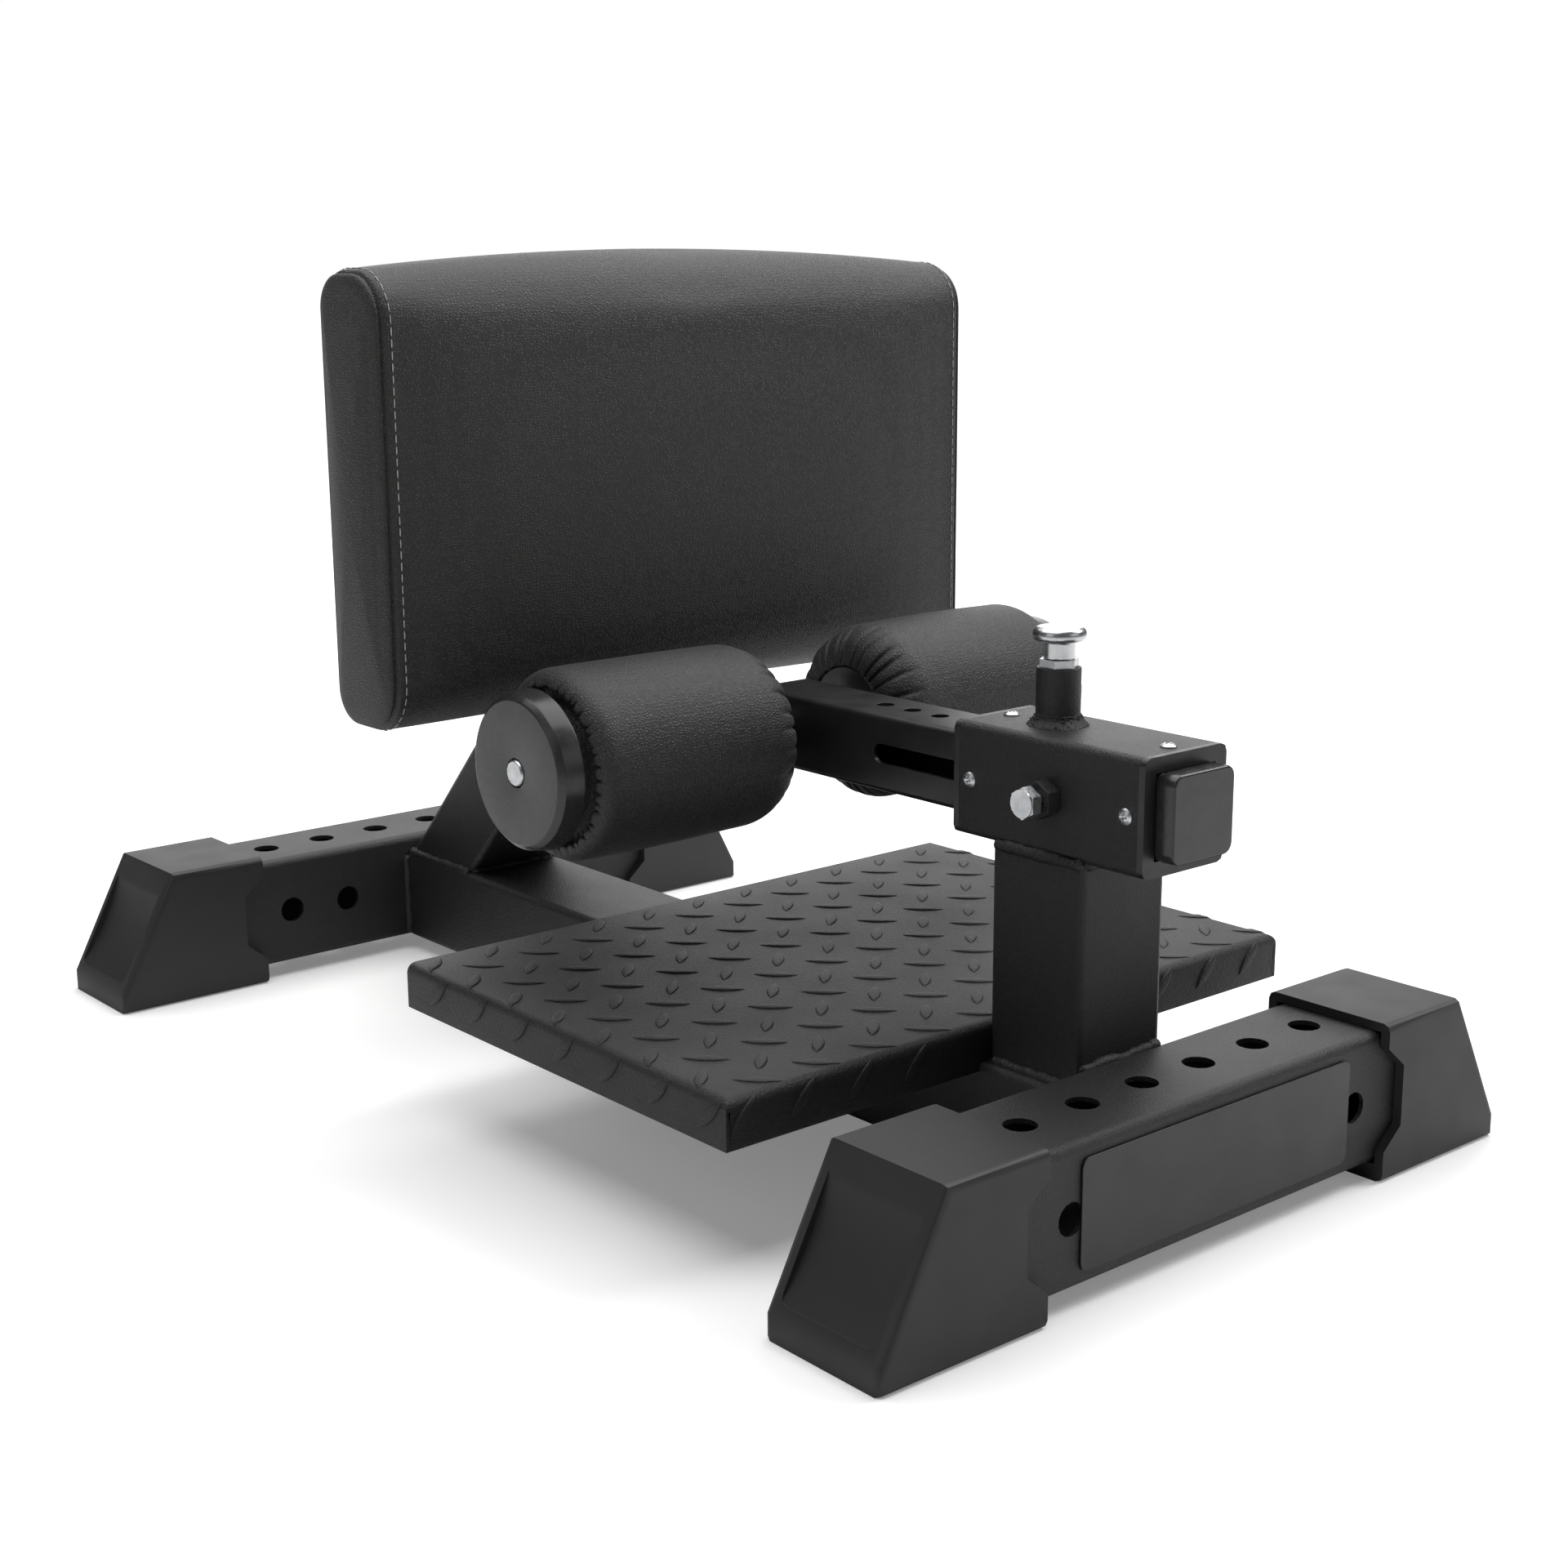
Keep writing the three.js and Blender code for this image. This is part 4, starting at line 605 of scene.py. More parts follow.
def treadLugs():
    # Each lug is a lens: half width W (1 - u^2) and height H (1 - u^2)^0.6 sin(v)^0.5 over its length
    # u from -1 to 1, sunk a little into the sheet and folded with it.
    halfWidth, depth, _, _, fold = treadSizes()
    reachX = halfWidth - tread["bend"] + fold
    places = []
    for offset, turn in ((0.0, -np.pi / 4), (0.5, np.pi / 4)):
        columns = np.arange(-8, 9) * tread["pitch"][0] + tread["first"][0] + offset * tread["pitch"][0]
        rows = np.arange(-2, 9) * tread["pitch"][1] + tread["first"][1] + offset * tread["pitch"][1]
        gridX, gridY = np.meshgrid(columns, rows, indexing="ij")
        places.append(np.stack([gridX.ravel(), gridY.ravel(), np.full(gridX.size, turn)], -1))
    places = np.concatenate(places)
    margin, plain = tread["lugMargin"], tread["plainCorner"]
    x, y = places[:, 0], places[:, 1]
    lowY = tread["bend"] - fold
    keep = (np.abs(x) < reachX - margin) & (y > lowY + margin) & (y < depth - margin)
    corner = (np.abs(x) > halfWidth - plain) & (y < plain)
    front = (y < plain) & (np.abs(x) < tread["notchHalfWidth"] + plain)
    places = places[keep & ~corner & ~front]
    u = np.sin(np.linspace(-np.pi / 2, np.pi / 2, tread["lugRings"]))[:, None]
    v = fullTurn(tread["lugSides"])[None, :]
    taper = np.clip(1 - u ** 2, 0, 1)
    along = tread["lugLength"] / 2 * u + 0 * v
    side = tread["lugWidth"] / 2 * taper * np.cos(v)
    heights = np.where(np.sin(v) > 0, tread["lugRise"], tread["lugRoot"])
    lift = heights * np.sign(np.sin(v)) * np.abs(np.sin(v)) ** 0.5 * taper ** 0.6
    turn = places[:, 2, None, None]
    across = places[:, 0, None, None] + along * np.cos(turn) - side * np.sin(turn)
    back = places[:, 1, None, None] + along * np.sin(turn) + side * np.cos(turn)
    trim = tread["lugTrim"]
    across = np.clip(across, -reachX + trim, reachX - trim)
    back = np.clip(back, lowY + trim, depth - trim)
    points = foldTread(across, back, lift + 0 * across)
    faces = tubeFaces(len(places), len(u), v.size)
    piece = makePiece("treadLugs", points, faces, finishes["checker_steel"], "base", merge=1e-7)
    print("treadplate:", len(places), "lugs")


treadSheet()
treadLugs()

# Shin rollers: padded covers with gathered ends, and moulded end caps

roller = {
    "archLength": 26,  # of the gathered inner end
    "rearRound": 15,  # radius of the end behind the cap
    "rearGap": 6.5,  # from the cap to the gathered edge
    "rearMouth": 51.5,  # radius of that edge, with a hollow inside it
    # the hollow's line: how far in from the edge, and how far behind the mouth
    "hollow": ((1.2, -0.2), (2.2, 0.6), (3, 4), (5, 8), (11, 8), (13, 4)),
    "stillPoints": 7,  # at the end of the whole line, which no crease moves
    "belly": 0.7,
    "slack": 0.3,
    "slackWaves": (31, 19),  # millimetres for a radian of each wave along the roller
    # count, depth, half width in degrees, first seed
    "innerCreases": (30, 4.4, 1.15, 3),
    "rearCreases": (46, 3.0, 1.15, 7),
    "innerFade": 1.15,  # times the arch's length
    "rearFade": 12,  # before the end's rounding
    "seat": 0.4,
    "inset": 0.3,  # of the drum inside the solid
    "archSteps": 28,
    "drumSteps": 22,
    "rearSteps": 20,
    "sides": 720,
}

cap = {
    "draft": 2,
    "shoulder": 3.5,
    "rounding": 2,
    "wall": 4,
    "recess": 2,
    "screwRecess": 9.1,
    "bore": 10.3,
    "screwBore": 5.3,
    "sides": 144,
}


def creases(angle, reach, side, count, depth, width, seed):
    # Sum over the creases of depth * fade * (0.75 exp(-a^2) + 0.25 exp(-(a / 3)^2)), a = angle from the
    # crease / its width, where reach is 1 at the gathered edge and falls to 0; places, depths and
    # lengths vary from one crease to the next.
    random = np.random.default_rng(seed + side)
    place = (np.arange(count) + random.uniform(-0.3, 0.3, count)) * 2 * np.pi / count
    deep = depth * random.uniform(0.3, 1.0, count)
    length = random.uniform(0.6, 1.0, count)
    sunk = np.zeros(reach.shape)
    spread = np.radians(width) * (2 - reach)
    for k in range(count):
        away = ((angle - place[k] + np.pi) % (2 * np.pi) - np.pi) / spread
        fade = np.clip((reach - 1 + length[k]) / length[k], 0, 1) ** 1.2
        sunk += deep[k] * fade * (0.75 * np.exp(-(away ** 2)) + 0.25 * np.exp(-((away / 3) ** 2)))
    return sunk


def arc(centre, radius, start, end, steps):
    # points of a circle in (radius, along) coordinates, from one angle to another in degrees
    turn = np.radians(np.linspace(start, end, steps))
    return np.stack([centre[0] + radius * np.sin(turn), centre[1] + radius * np.cos(turn)], -1)


def rollerCover(side, label):
    # A closed profile carried round the axle: quarter ellipse out from the disc, drum, rounded end
    # and a gathered mouth behind the cap. The creases sink it near both gathers.
    _, _, middle = boxOf("roller_axle")
    coverLow, coverHigh, _ = boxOf(f"roller_cover_{label}")
    discLow, discHigh, _ = boxOf(f"roller_disc_{label}")
    barrel = (coverHigh[2] - coverLow[2]) / 2 / mm - roller["inset"]
    disc = (discHigh[2] - discLow[2]) / 2 / mm + roller["seat"]
    ends = np.sort(np.abs([discLow[0], discHigh[0]])) / mm
    inner, discSeat = ends[0], ends[1] + roller["seat"]
    coreLow, coreHigh, _ = boxOf(f"roller_core_{label}")
    bore = (coreHigh[2] - coreLow[2]) / 2 / mm + roller["seat"]
    coverEnd = np.abs([coverLow[0], coverHigh[0]]).max() / mm
    arch = np.linspace(0, np.pi / 2, roller["archSteps"])
    archLine = np.stack([
        disc + (barrel - disc) * np.sin(arch) ** 0.9, inner + roller["archLength"] * (1 - np.cos(arch)),
    ], -1)
    rearCentre = barrel - roller["rearRound"]
    rearTurn = np.arcsin((roller["rearMouth"] - rearCentre) / roller["rearRound"])
    mouth = coverEnd - roller["rearGap"]
    rearStart = mouth - roller["rearRound"] * np.cos(rearTurn)
    along = np.linspace(inner + roller["archLength"], rearStart, roller["drumSteps"])[1:-1]
    drum = np.stack([np.full(len(along), barrel), along], -1)
    turn = (90, np.degrees(rearTurn), roller["rearSteps"])
    rear = arc((rearCentre, rearStart), roller["rearRound"], *turn)
    edge = roller["rearMouth"]
    hollow = np.array([edge, mouth]) - np.array(roller["hollow"])
    closing = [[hollow[-1, 0], coverEnd], [bore, coverEnd], [bore, discSeat], [disc, discSeat]]
    line = np.concatenate([archLine, drum, rear, hollow, closing])
    skin = (np.arange(len(line)) < len(line) - roller["stillPoints"])[None, :]
    angle = fullTurn(roller["sides"])[:, None]
    radius, along = line[None, :, 0], line[None, :, 1] + 0 * angle
    innerFade = roller["innerFade"] * roller["archLength"]
    innerReach = np.clip(1 - (along - inner) / innerFade, 0, 1) * skin
    rearReach = np.clip(1 - (barrel - radius) / (barrel - edge), 0, 1)
    rearReach = (1 - rearReach) * (along > rearStart - roller["rearFade"]) * skin
    innerSunk = creases(angle, innerReach, side, *roller["innerCreases"])
    rearSunk = creases(angle, rearReach ** 1.5 + 0 * angle, side, *roller["rearCreases"])
    span = np.clip((along - inner) / (coverEnd - inner), 0, 1)
    longWave, shortWave = (along / length for length in roller["slackWaves"])
    waves = np.sin(2 * angle + longWave) + 0.6 * np.sin(5 * angle - shortWave + side)
    full = roller["belly"] * np.sin(np.pi * span) + roller["slack"] * waves
    radius = radius + full * skin - innerSunk + 0.5 * rearSunk
    along = along + 0.5 * innerSunk - rearSunk
    across, lifted = radius * np.cos(angle), radius * np.sin(angle)
    points = np.stack([side * along, across, lifted], -1) * mm + middle
    faces = gridFaces(len(angle), len(line), wrapRows=True, wrapColumns=True)
    name, body = f"rollerCover{label.capitalize()}", f"{label}_roller"
    piece = makePiece(name, points, faces, finishes["leather"], body, [f"roller_cover_{label}"])


def rollerCap(side, label):
    # a drum that narrows a little to its soft shoulder, and a shallow recess for the axle's screw
    _, _, middle = boxOf("roller_axle")
    capLow, capHigh, _ = boxOf(f"roller_cap_{label}")
    rim = (capHigh[2] - capLow[2]) / 2 / mm
    low, high = np.sort(np.abs([capLow[0], capHigh[0]])) / mm
    front = rim - cap["draft"]
    floor = high - cap["recess"]
    corners = [
        (cap["bore"], low, 0), (rim, low, 0.8), (front, high - cap["shoulder"], cap["rounding"]),
        (front - cap["shoulder"], high, cap["rounding"]), (cap["screwRecess"], high, 0.5),
        (cap["screwRecess"], floor, 0), (cap["screwBore"], floor, 0),
        (cap["screwBore"], floor - cap["wall"], 0), (cap["bore"], floor - cap["wall"], 0),
    ]
    corners = [(radius, side * along, bend) for radius, along, bend in corners]
    name = f"rollerCap{label.capitalize()}"
    piece = turnedPiece(
        name, corners, middle, "x", finishes["grey_plastic"], f"{label}_roller", [f"roller_cap_{label}"],
        sides=cap["sides"], closed=True)


for side, label in ((-1, "left"), (1, "right")):
    rollerCover(side, label)
    rollerCap(side, label)
print("rollers")

# Calf pad: cushion, seams and stitches

pad = {
    "faceCrown": 4,
    "topDrop": 13.5,  # from the solid's top to the cushion's corners
    "topCrown": 11.5,
    "endCrown": 3,
    "edgeRadius": 34,
    "backRadius": 26,
    "startInset": 1.5,  # the form before it is inflated, inside the finished one
    # distances from the end, and how far the cover is drawn in there: the crease is the seam
    "seamPlaces": (9, 6.8, 5.2, 4.1, 3.5, 3.0, 2.2, 1.0, -0.3, -1.4, -2.2),
    "seamDepths": (0, 0.2, 0.7, 1.6, 3.0, 3.8, 2.6, 2.3, 3.2, 5.4, 9),
    "panelShares": (0.96, 0.9, 0.82, 0.72, 0.6, 0.48, 0.36, 0.24, 0.12, 0),
    "panelSwell": 5,
    "boardSeat": 0.6,
    "around": 150,  # points of the section
    "columns": 96,  # of the face, from seam to seam
    "cornerSteps": 16,
}

cloth = {
    "pressure": 4.0,
    "quality": 6,
    "stretch": 12,
    "shear": 6,
    "bending": 4,
    "frames": 20,
    "seamHeld": (2, 4.3),  # from the end
    "backHeld": 9,  # from the back
    "easing": 24,  # rounds of smoothing over the finest wrinkles
    "swellCap": 5.0,
    "backFade": 26,
    "seamFade": 16,
    "seamMiddle": 3,
}

stitch = {
    "inset": 10.2,  # from the end
    "length": 5.4,
    "pitch": 7.2,
    "width": 0.8,
    "backShare": 0.35,  # of the thickness, from the middle to where the stitches end
    "lift": 0.2,
    "rings": 7,
    "sides": 6,
}


def padSizes():
    # width, thickness, height and middle of the cushion without its crowns, in millimetres
    low, high, _ = (v / mm for v in boxOf("calf_pad"))
    width = high[0] - low[0] - 2 * pad["endCrown"]
    thickness = high[1] - low[1] - pad["faceCrown"]
    height = high[2] - low[2] - pad["topDrop"]
    centre = np.array([0, high[1] - thickness / 2, low[2] + height / 2])
    return width, thickness, height, centre


def padSection(count):
    # a rounded rectangle of even steps, with its outward normals: depth to the back, then height
    _, thickness, height, _ = padSizes()
    halfD, halfH, radius = thickness / 2, height / 2, pad["edgeRadius"]
    corners = [
        (-halfD, 0, 0), (-halfD, -halfH, radius), (halfD, -halfH, pad["backRadius"]),
        (halfD, halfH, pad["backRadius"]), (-halfD, halfH, radius), (-halfD, 0, 0),
    ]
    line = roundedLine(corners, pad["cornerSteps"])
    length = np.concatenate([[0], np.cumsum(np.linalg.norm(np.diff(line, axis=0), axis=1))])
    even = np.linspace(0, length[-1], count, endpoint=False)
    section = np.stack([np.interp(even, length, line[:, k]) for k in (0, 1)], -1)
    tangent = np.roll(section, -1, 0) - np.roll(section, 1, 0)
    normal = np.stack([tangent[:, 1], -tangent[:, 0]], -1)
    normal /= np.linalg.norm(normal, axis=1, keepdims=True)
    outward = np.sign((normal * section).sum(1).mean())
    return section, normal * outward


def padForm(section, normal, across, inset, share):
    # point = share * (section - inset * normal) at that place across, crowned at the face and top
    width, thickness, height, centre = padSizes()
    flat = section[None] - inset[:, None, None] * normal[None]
    flat = flat * share[:, None, None]
    depth, rise = flat[..., 0], flat[..., 1]
    s = (across / (width / 2))[:, None]
    h = rise / (height / 2)
    toFront = np.clip(-depth / (thickness / 2), 0, 1)
    toTop = np.clip(h, 0, 1)
    fullness = np.clip(1 - s ** 2, 0, 1)
    depth = depth - pad["faceCrown"] * toFront * (1 - h ** 2) * np.clip(1 - s ** 4, 0, 1)
    rise = rise + pad["topCrown"] * fullness * toTop ** 2
    return (np.stack([across[:, None] + 0 * depth, depth, rise], -1) + centre) * mm


def calfPad():
    # The section carried across the pad: drawn in at the seams near both ends, full in between, and
    # shrunk towards the middle of each end panel.
    width = padSizes()[0]
    section, normal = padSection(pad["around"])
    half = width / 2 - pad["startInset"]
    places, depths, shares = (np.array(pad[k]) for k in ("seamPlaces", "seamDepths", "panelShares"))
    # from the middle of one end panel over its edge, the seam and the face to the other
    panelX = half - places[-1] + pad["panelSwell"] * (1 - shares ** 2)
    endX = np.concatenate([half - places, panelX])
    endInset = np.concatenate([depths, np.full(len(shares), depths[-1])])
    endShare = np.concatenate([np.ones(len(places)), shares])
    faceX = np.linspace(-half + places[0], half - places[0], pad["columns"])[1:-1]
    across = np.concatenate([-endX[::-1], faceX, endX])
    inset = np.concatenate([endInset[::-1], 0 * faceX, endInset]) + pad["startInset"]
    share = np.concatenate([endShare[::-1], np.ones(len(faceX)), endShare])
    points = padForm(section, normal, across, inset, share)
    faces = gridFaces(len(across), pad["around"], wrapColumns=True)
    piece = makePiece("calfPadCover", points, faces, finishes["leather"], "base", ["calf_pad"])
    inflate(piece, half)
    return piece, section, normal


def meshPoints(mesh):
    # all points of a mesh as rows of three
    points = np.empty(len(mesh.vertices) * 3)
    mesh.vertices.foreach_get("co", points)
    return points.reshape(-1, 3)


def eased(mesh, shift):
    # each round, a point's shift becomes the mean of itself and of its neighbours' mean
    pairs = np.empty(len(mesh.edges) * 2, int)
    mesh.edges.foreach_get("vertices", pairs)
    ends = np.concatenate([pairs.reshape(-1, 2), pairs.reshape(-1, 2)[:, ::-1]])
    neighbours = np.bincount(ends[:, 0], minlength=len(shift))[:, None]
    for _ in range(cloth["easing"]):
        around = [np.bincount(ends[:, 0], shift[ends[:, 1], k], len(shift)) for k in range(3)]
        shift = (shift + np.stack(around, -1) / neighbours) / 2
    return shift


def inflate(piece, half):
    # Cloth under a little pressure, held at the back and at the end seams. How far its points move is
    # smoothed over the mesh's edges, capped, and faded out towards the back and the seams.
    _, thickness, _, centre = padSizes()
    start = meshPoints(piece.data)
    local = start / mm - centre
    fromEnd = half - np.abs(local[:, 0])
    seam = (fromEnd > cloth["seamHeld"][0]) & (fromEnd < cloth["seamHeld"][1])
    fromBack = thickness / 2 - cloth["backHeld"] - local[:, 1]
    held = piece.vertex_groups.new(name="held")
    held.add(np.flatnonzero(seam | (fromBack < 0)).tolist(), 1.0, "REPLACE")
    inflating = piece.modifiers.new("inflate", "CLOTH")
    settings = inflating.settings
    settings.vertex_group_mass = "held"
    settings.use_pressure = True
    settings.uniform_pressure_force = cloth["pressure"]
    settings.quality = cloth["quality"]
    settings.tension_stiffness = settings.compression_stiffness = cloth["stretch"]
    settings.shear_stiffness = cloth["shear"]
    settings.bending_stiffness = cloth["bending"]
    settings.effector_weights.gravity = 0
    inflating.point_cache.frame_start = 1
    inflating.point_cache.frame_end = cloth["frames"]
    scene = bpy.context.scene
    for number in range(cloth["frames"]):
        scene.frame_set(number + 1)
    moved = meshPoints(piece.evaluated_get(bpy.context.evaluated_depsgraph_get()).data)
    shift = eased(piece.data, moved - start)
    length = np.linalg.norm(shift, axis=1, keepdims=True)
    reach = cloth["swellCap"] * mm
    shift *= np.tanh(length / reach) * reach / np.maximum(length, 1e-9)
    fade = np.clip(fromBack / cloth["backFade"], 0, 1)
    fade = fade * np.clip(np.abs(fromEnd - cloth["seamMiddle"]) / cloth["seamFade"], 0, 1)
    shift *= (fade * fade * (3 - 2 * fade))[:, None]
    piece.modifiers.remove(inflating)
    scene.frame_set(1)
    piece.data.vertices.foreach_set("co", (start + shift).ravel())
    piece.data.update()
    print("calf pad inflated by up to", round(float(length.max() / mm), 1), "mm")


def recessBack(piece):
    # the cover is open behind, where the board lies flush with it
    low, high, _ = boxOf("pad_board")
    seat = pad["boardSeat"] * mm
    points = meshPoints(piece.data)
    behind = (points[:, 1] > low[1]) & (np.abs(points[:, 0]) < high[0] + seat)
    behind &= (points[:, 2] > low[2] - seat) & (points[:, 2] < high[2] + seat)
    points[behind, 1] = low[1] - seat
    piece.data.vertices.foreach_set("co", points.ravel())
    piece.data.update()


def seamPath(piece, place, section, normal):
    # the cover's own surface, followed round the section at a place across it
    points = padForm(section, normal, np.array([place]), np.array([0.0]), np.array([1.0]))[0]
    skin = piece.evaluated_get(bpy.context.evaluated_depsgraph_get())
    near = [skin.closest_point_on_mesh(Vector(point)) for point in points]
    return np.array([spot for _, spot, _, _ in near]), np.array([up for _, _, up, _ in near])


def resample(path, step):
    # even places along a closed path, and the direction there
    closed = np.concatenate([path, path[:1]])
    length = np.concatenate([[0], np.cumsum(np.linalg.norm(np.diff(closed, axis=0), axis=1))])
    even = np.linspace(0, length[-1], int(length[-1] / step), endpoint=False)
    further = (even + step / 4) % length[-1]
    places = np.stack([np.interp(even, length, closed[:, k]) for k in range(3)], -1)
    ahead = np.stack([np.interp(further, length, closed[:, k]) for k in range(3)], -1)
    direction = ahead - places
    return places, direction / np.linalg.norm(direction, axis=1, keepdims=True), even / length[-1]


def padStitches(piece, section, normal):
    # Stitch: a short capsule, its rings of radius r sin(a)^0.4, carried to each place along the seam
    width, thickness, _, centre = padSizes()
    places, runs, lifts = [], [], []
    for side in (-1, 1):
        path, normals = seamPath(piece, side * (width / 2 - stitch["inset"]), section, normal)
        spots, direction, share = resample(path, stitch["pitch"] * mm)
        index = (share * len(path)).astype(int) % len(path)
        front = spots[:, 1] < (centre[1] + stitch["backShare"] * thickness) * mm
        places.append(spots[front])
        runs.append(direction[front])
        lifts.append(normals[index][front])
    places, runs, lifts = (np.concatenate(x) for x in (places, runs, lifts))
    sides = np.cross(runs, lifts)
    u = np.linspace(0, np.pi, stitch["rings"])[:, None]
    v = fullTurn(stitch["sides"])[None, :]
    along = -np.cos(u) * stitch["length"] / 2 * mm + 0 * v
    ring = np.clip(np.sin(u), 0, 1) ** 0.4 * stitch["width"] / 2 * mm
    out, rise = ring * np.cos(v), ring * np.sin(v) * 0.8 + stitch["lift"] * mm
    points = (
        places[:, None, None] + along[None, ..., None] * runs[:, None, None]
        + out[None, ..., None] * sides[:, None, None] + rise[None, ..., None] * lifts[:, None, None])
    faces = tubeFaces(len(places), len(u), v.size)
    stitches = makePiece("padStitches", points, faces, thread, "base", merge=1e-7)
    print("stitches:", len(places))


padCover, padLine, padNormal = calfPad()
recessBack(padCover)
padStitches(padCover, padLine, padNormal)
addModifier(padCover, "smooth", "SUBSURF", levels=1, render_levels=1)
print("calf pad")

# Pull knob and its housing

pull = {
    "neck": 9.4,
    "neckHeight": 10,
    "neckFillet": 1.4,
    "bore": 3.6,
    "boreDepth": 14,
    "headShare": 0.94,  # of the solid's radius
    "rimLow": 3.4,
    "rimHigh": 4.6,
    "dish": 0.6,  # rise of the head's underside to its rim
    "crown": 0.8,  # fall of its top to its rim
}


def pullKnob():
    # a straight neck under a thick head with a full round rim
    low, high, middle = boxOf("pull_knob")
    foot = np.array([middle[0], middle[1], low[2]])
    head = pull["headShare"] * (high[0] - low[0]) / 2 / mm
    top = (high[2] - low[2]) / mm
    neck, under = pull["neck"], pull["neckHeight"]
    bore, depth = pull["bore"], pull["boreDepth"]
    corners = [
        (0, depth, 0), (bore, depth, 0), (bore, 0, 0), (neck, 0, 0.4),
        (neck, under, pull["neckFillet"]), (head, under + pull["dish"], pull["rimLow"]),
        (head, top - pull["crown"], pull["rimHigh"]), (0, top, 0),
    ]
    piece = turnedPiece("pullKnob", corners, foot, "z", finishes["chrome"], "pull_pin", ["pull_knob"])


fillet = {
    "foot": 0.3,  # outside the housing's own foot
    "neck": 13.5,
    "height": 7,
    "belly": 0.9,
    "grain": 0.3,
    "sunk": 1,
    "sides": 180,
    "steps": 14,
}


def housingFillet():
    # The weld round the housing's foot: radius from its foot to its top by a quarter wave, with a
    # grain of about half a millimetre, sunk under the sleeve's face.
    low, high, middle = boxOf("pin_housing")
    outer = (high[0] - low[0]) / 2 / mm + fillet["foot"]
    inner = fillet["neck"] - fillet["sunk"]
    random = np.random.default_rng(5)
    sides, steps = fillet["sides"], fillet["steps"]
    angle = fullTurn(sides)[:, None]
    t = np.linspace(0, 1, steps)[None, :]
    radius = outer - (outer - fillet["neck"]) * np.sin(t * np.pi / 2)
    rise = fillet["height"] * (1 - np.cos(t * np.pi / 2)) ** fillet["belly"]
    grain = random.normal(0, fillet["grain"], (sides, steps))
    grain = (grain + np.roll(grain, 1, 0) + np.roll(grain, 1, 1)) * np.sin(np.pi * t) ** 0.3
    even = 0 * angle
    radius = np.concatenate([inner + even, outer + even, radius + grain, inner + even], 1)
    below = even - fillet["sunk"]
    rise = np.concatenate([below, below, rise + grain, fillet["height"] + even], 1)
    points = np.stack([radius * np.cos(angle), radius * np.sin(angle), rise], -1) * mm
    faces = gridFaces(sides, points.shape[1], wrapRows=True, wrapColumns=True)
    foot = np.array([middle[0], middle[1], low[2]])
    piece = makePiece("housingFillet", points + foot, faces, finishes["powder_coat"], "base")


housingFillet()
pullKnob()
print("pull knob and housing")

# The pin's spring, built at rest; the pulled pin presses the real one together

spring = {"wire": 1.2, "turns": 5, "stepsPerTurn": 32, "sides": 8}


def pinSpring():
    # Wire round a helix: centre (R cos a, R sin a, climb a), its ring spanned by the outward
    # direction and the height, closed at both ends, at rest.
    low, high, middle = boxOf("pin_spring")
    wire = spring["wire"] / 2
    radius = (high[0] - low[0]) / 2 / mm - wire
    span = (high[2] - low[2]) / mm
    share = np.linspace(0, 1, spring["stepsPerTurn"] * spring["turns"] + 1)[:, None]
    angle = 2 * np.pi * spring["turns"] * share
    turn = fullTurn(spring["sides"])[None, :]
    out = radius + wire * np.cos(turn)
    rise = wire + share * (span - 2 * wire) + wire * np.sin(turn)
    points = np.stack([out * np.cos(angle), out * np.sin(angle), rise], -1)
    middles = points.mean(1, keepdims=True)
    points = np.concatenate([middles[:1] + 0 * points[:1], points, middles[-1:] + 0 * points[-1:]])
    foot = np.array([middle[0], middle[1], low[2]])
    faces = gridFaces(len(points), spring["sides"], wrapColumns=True)
    zinc = finishes["zinc_steel"]
    piece = makePiece("pinSpring", points * mm + foot, faces, zinc, "base", ["pin_spring"])
    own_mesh(piece)
    print("pin spring:", round(float(span), 1), "mm at rest")


pinSpring()

# Pan-head screws of the liners, with a cross recess

screws = {
    "slotHalf": 0.62,
    "slotReach": 2.7,
    "slotDepth": 1.5,
    "slotWall": 0.15,  # width of the slot's slanted wall
    "slotRings": 14,  # as far as a tenth past the slot
    "crownStart": 3.3,
    "crownRings": 6,
    "shank": 2.5,
    "rim": 0.6,
    "fall": 2.4,
    "sides": 72,
}


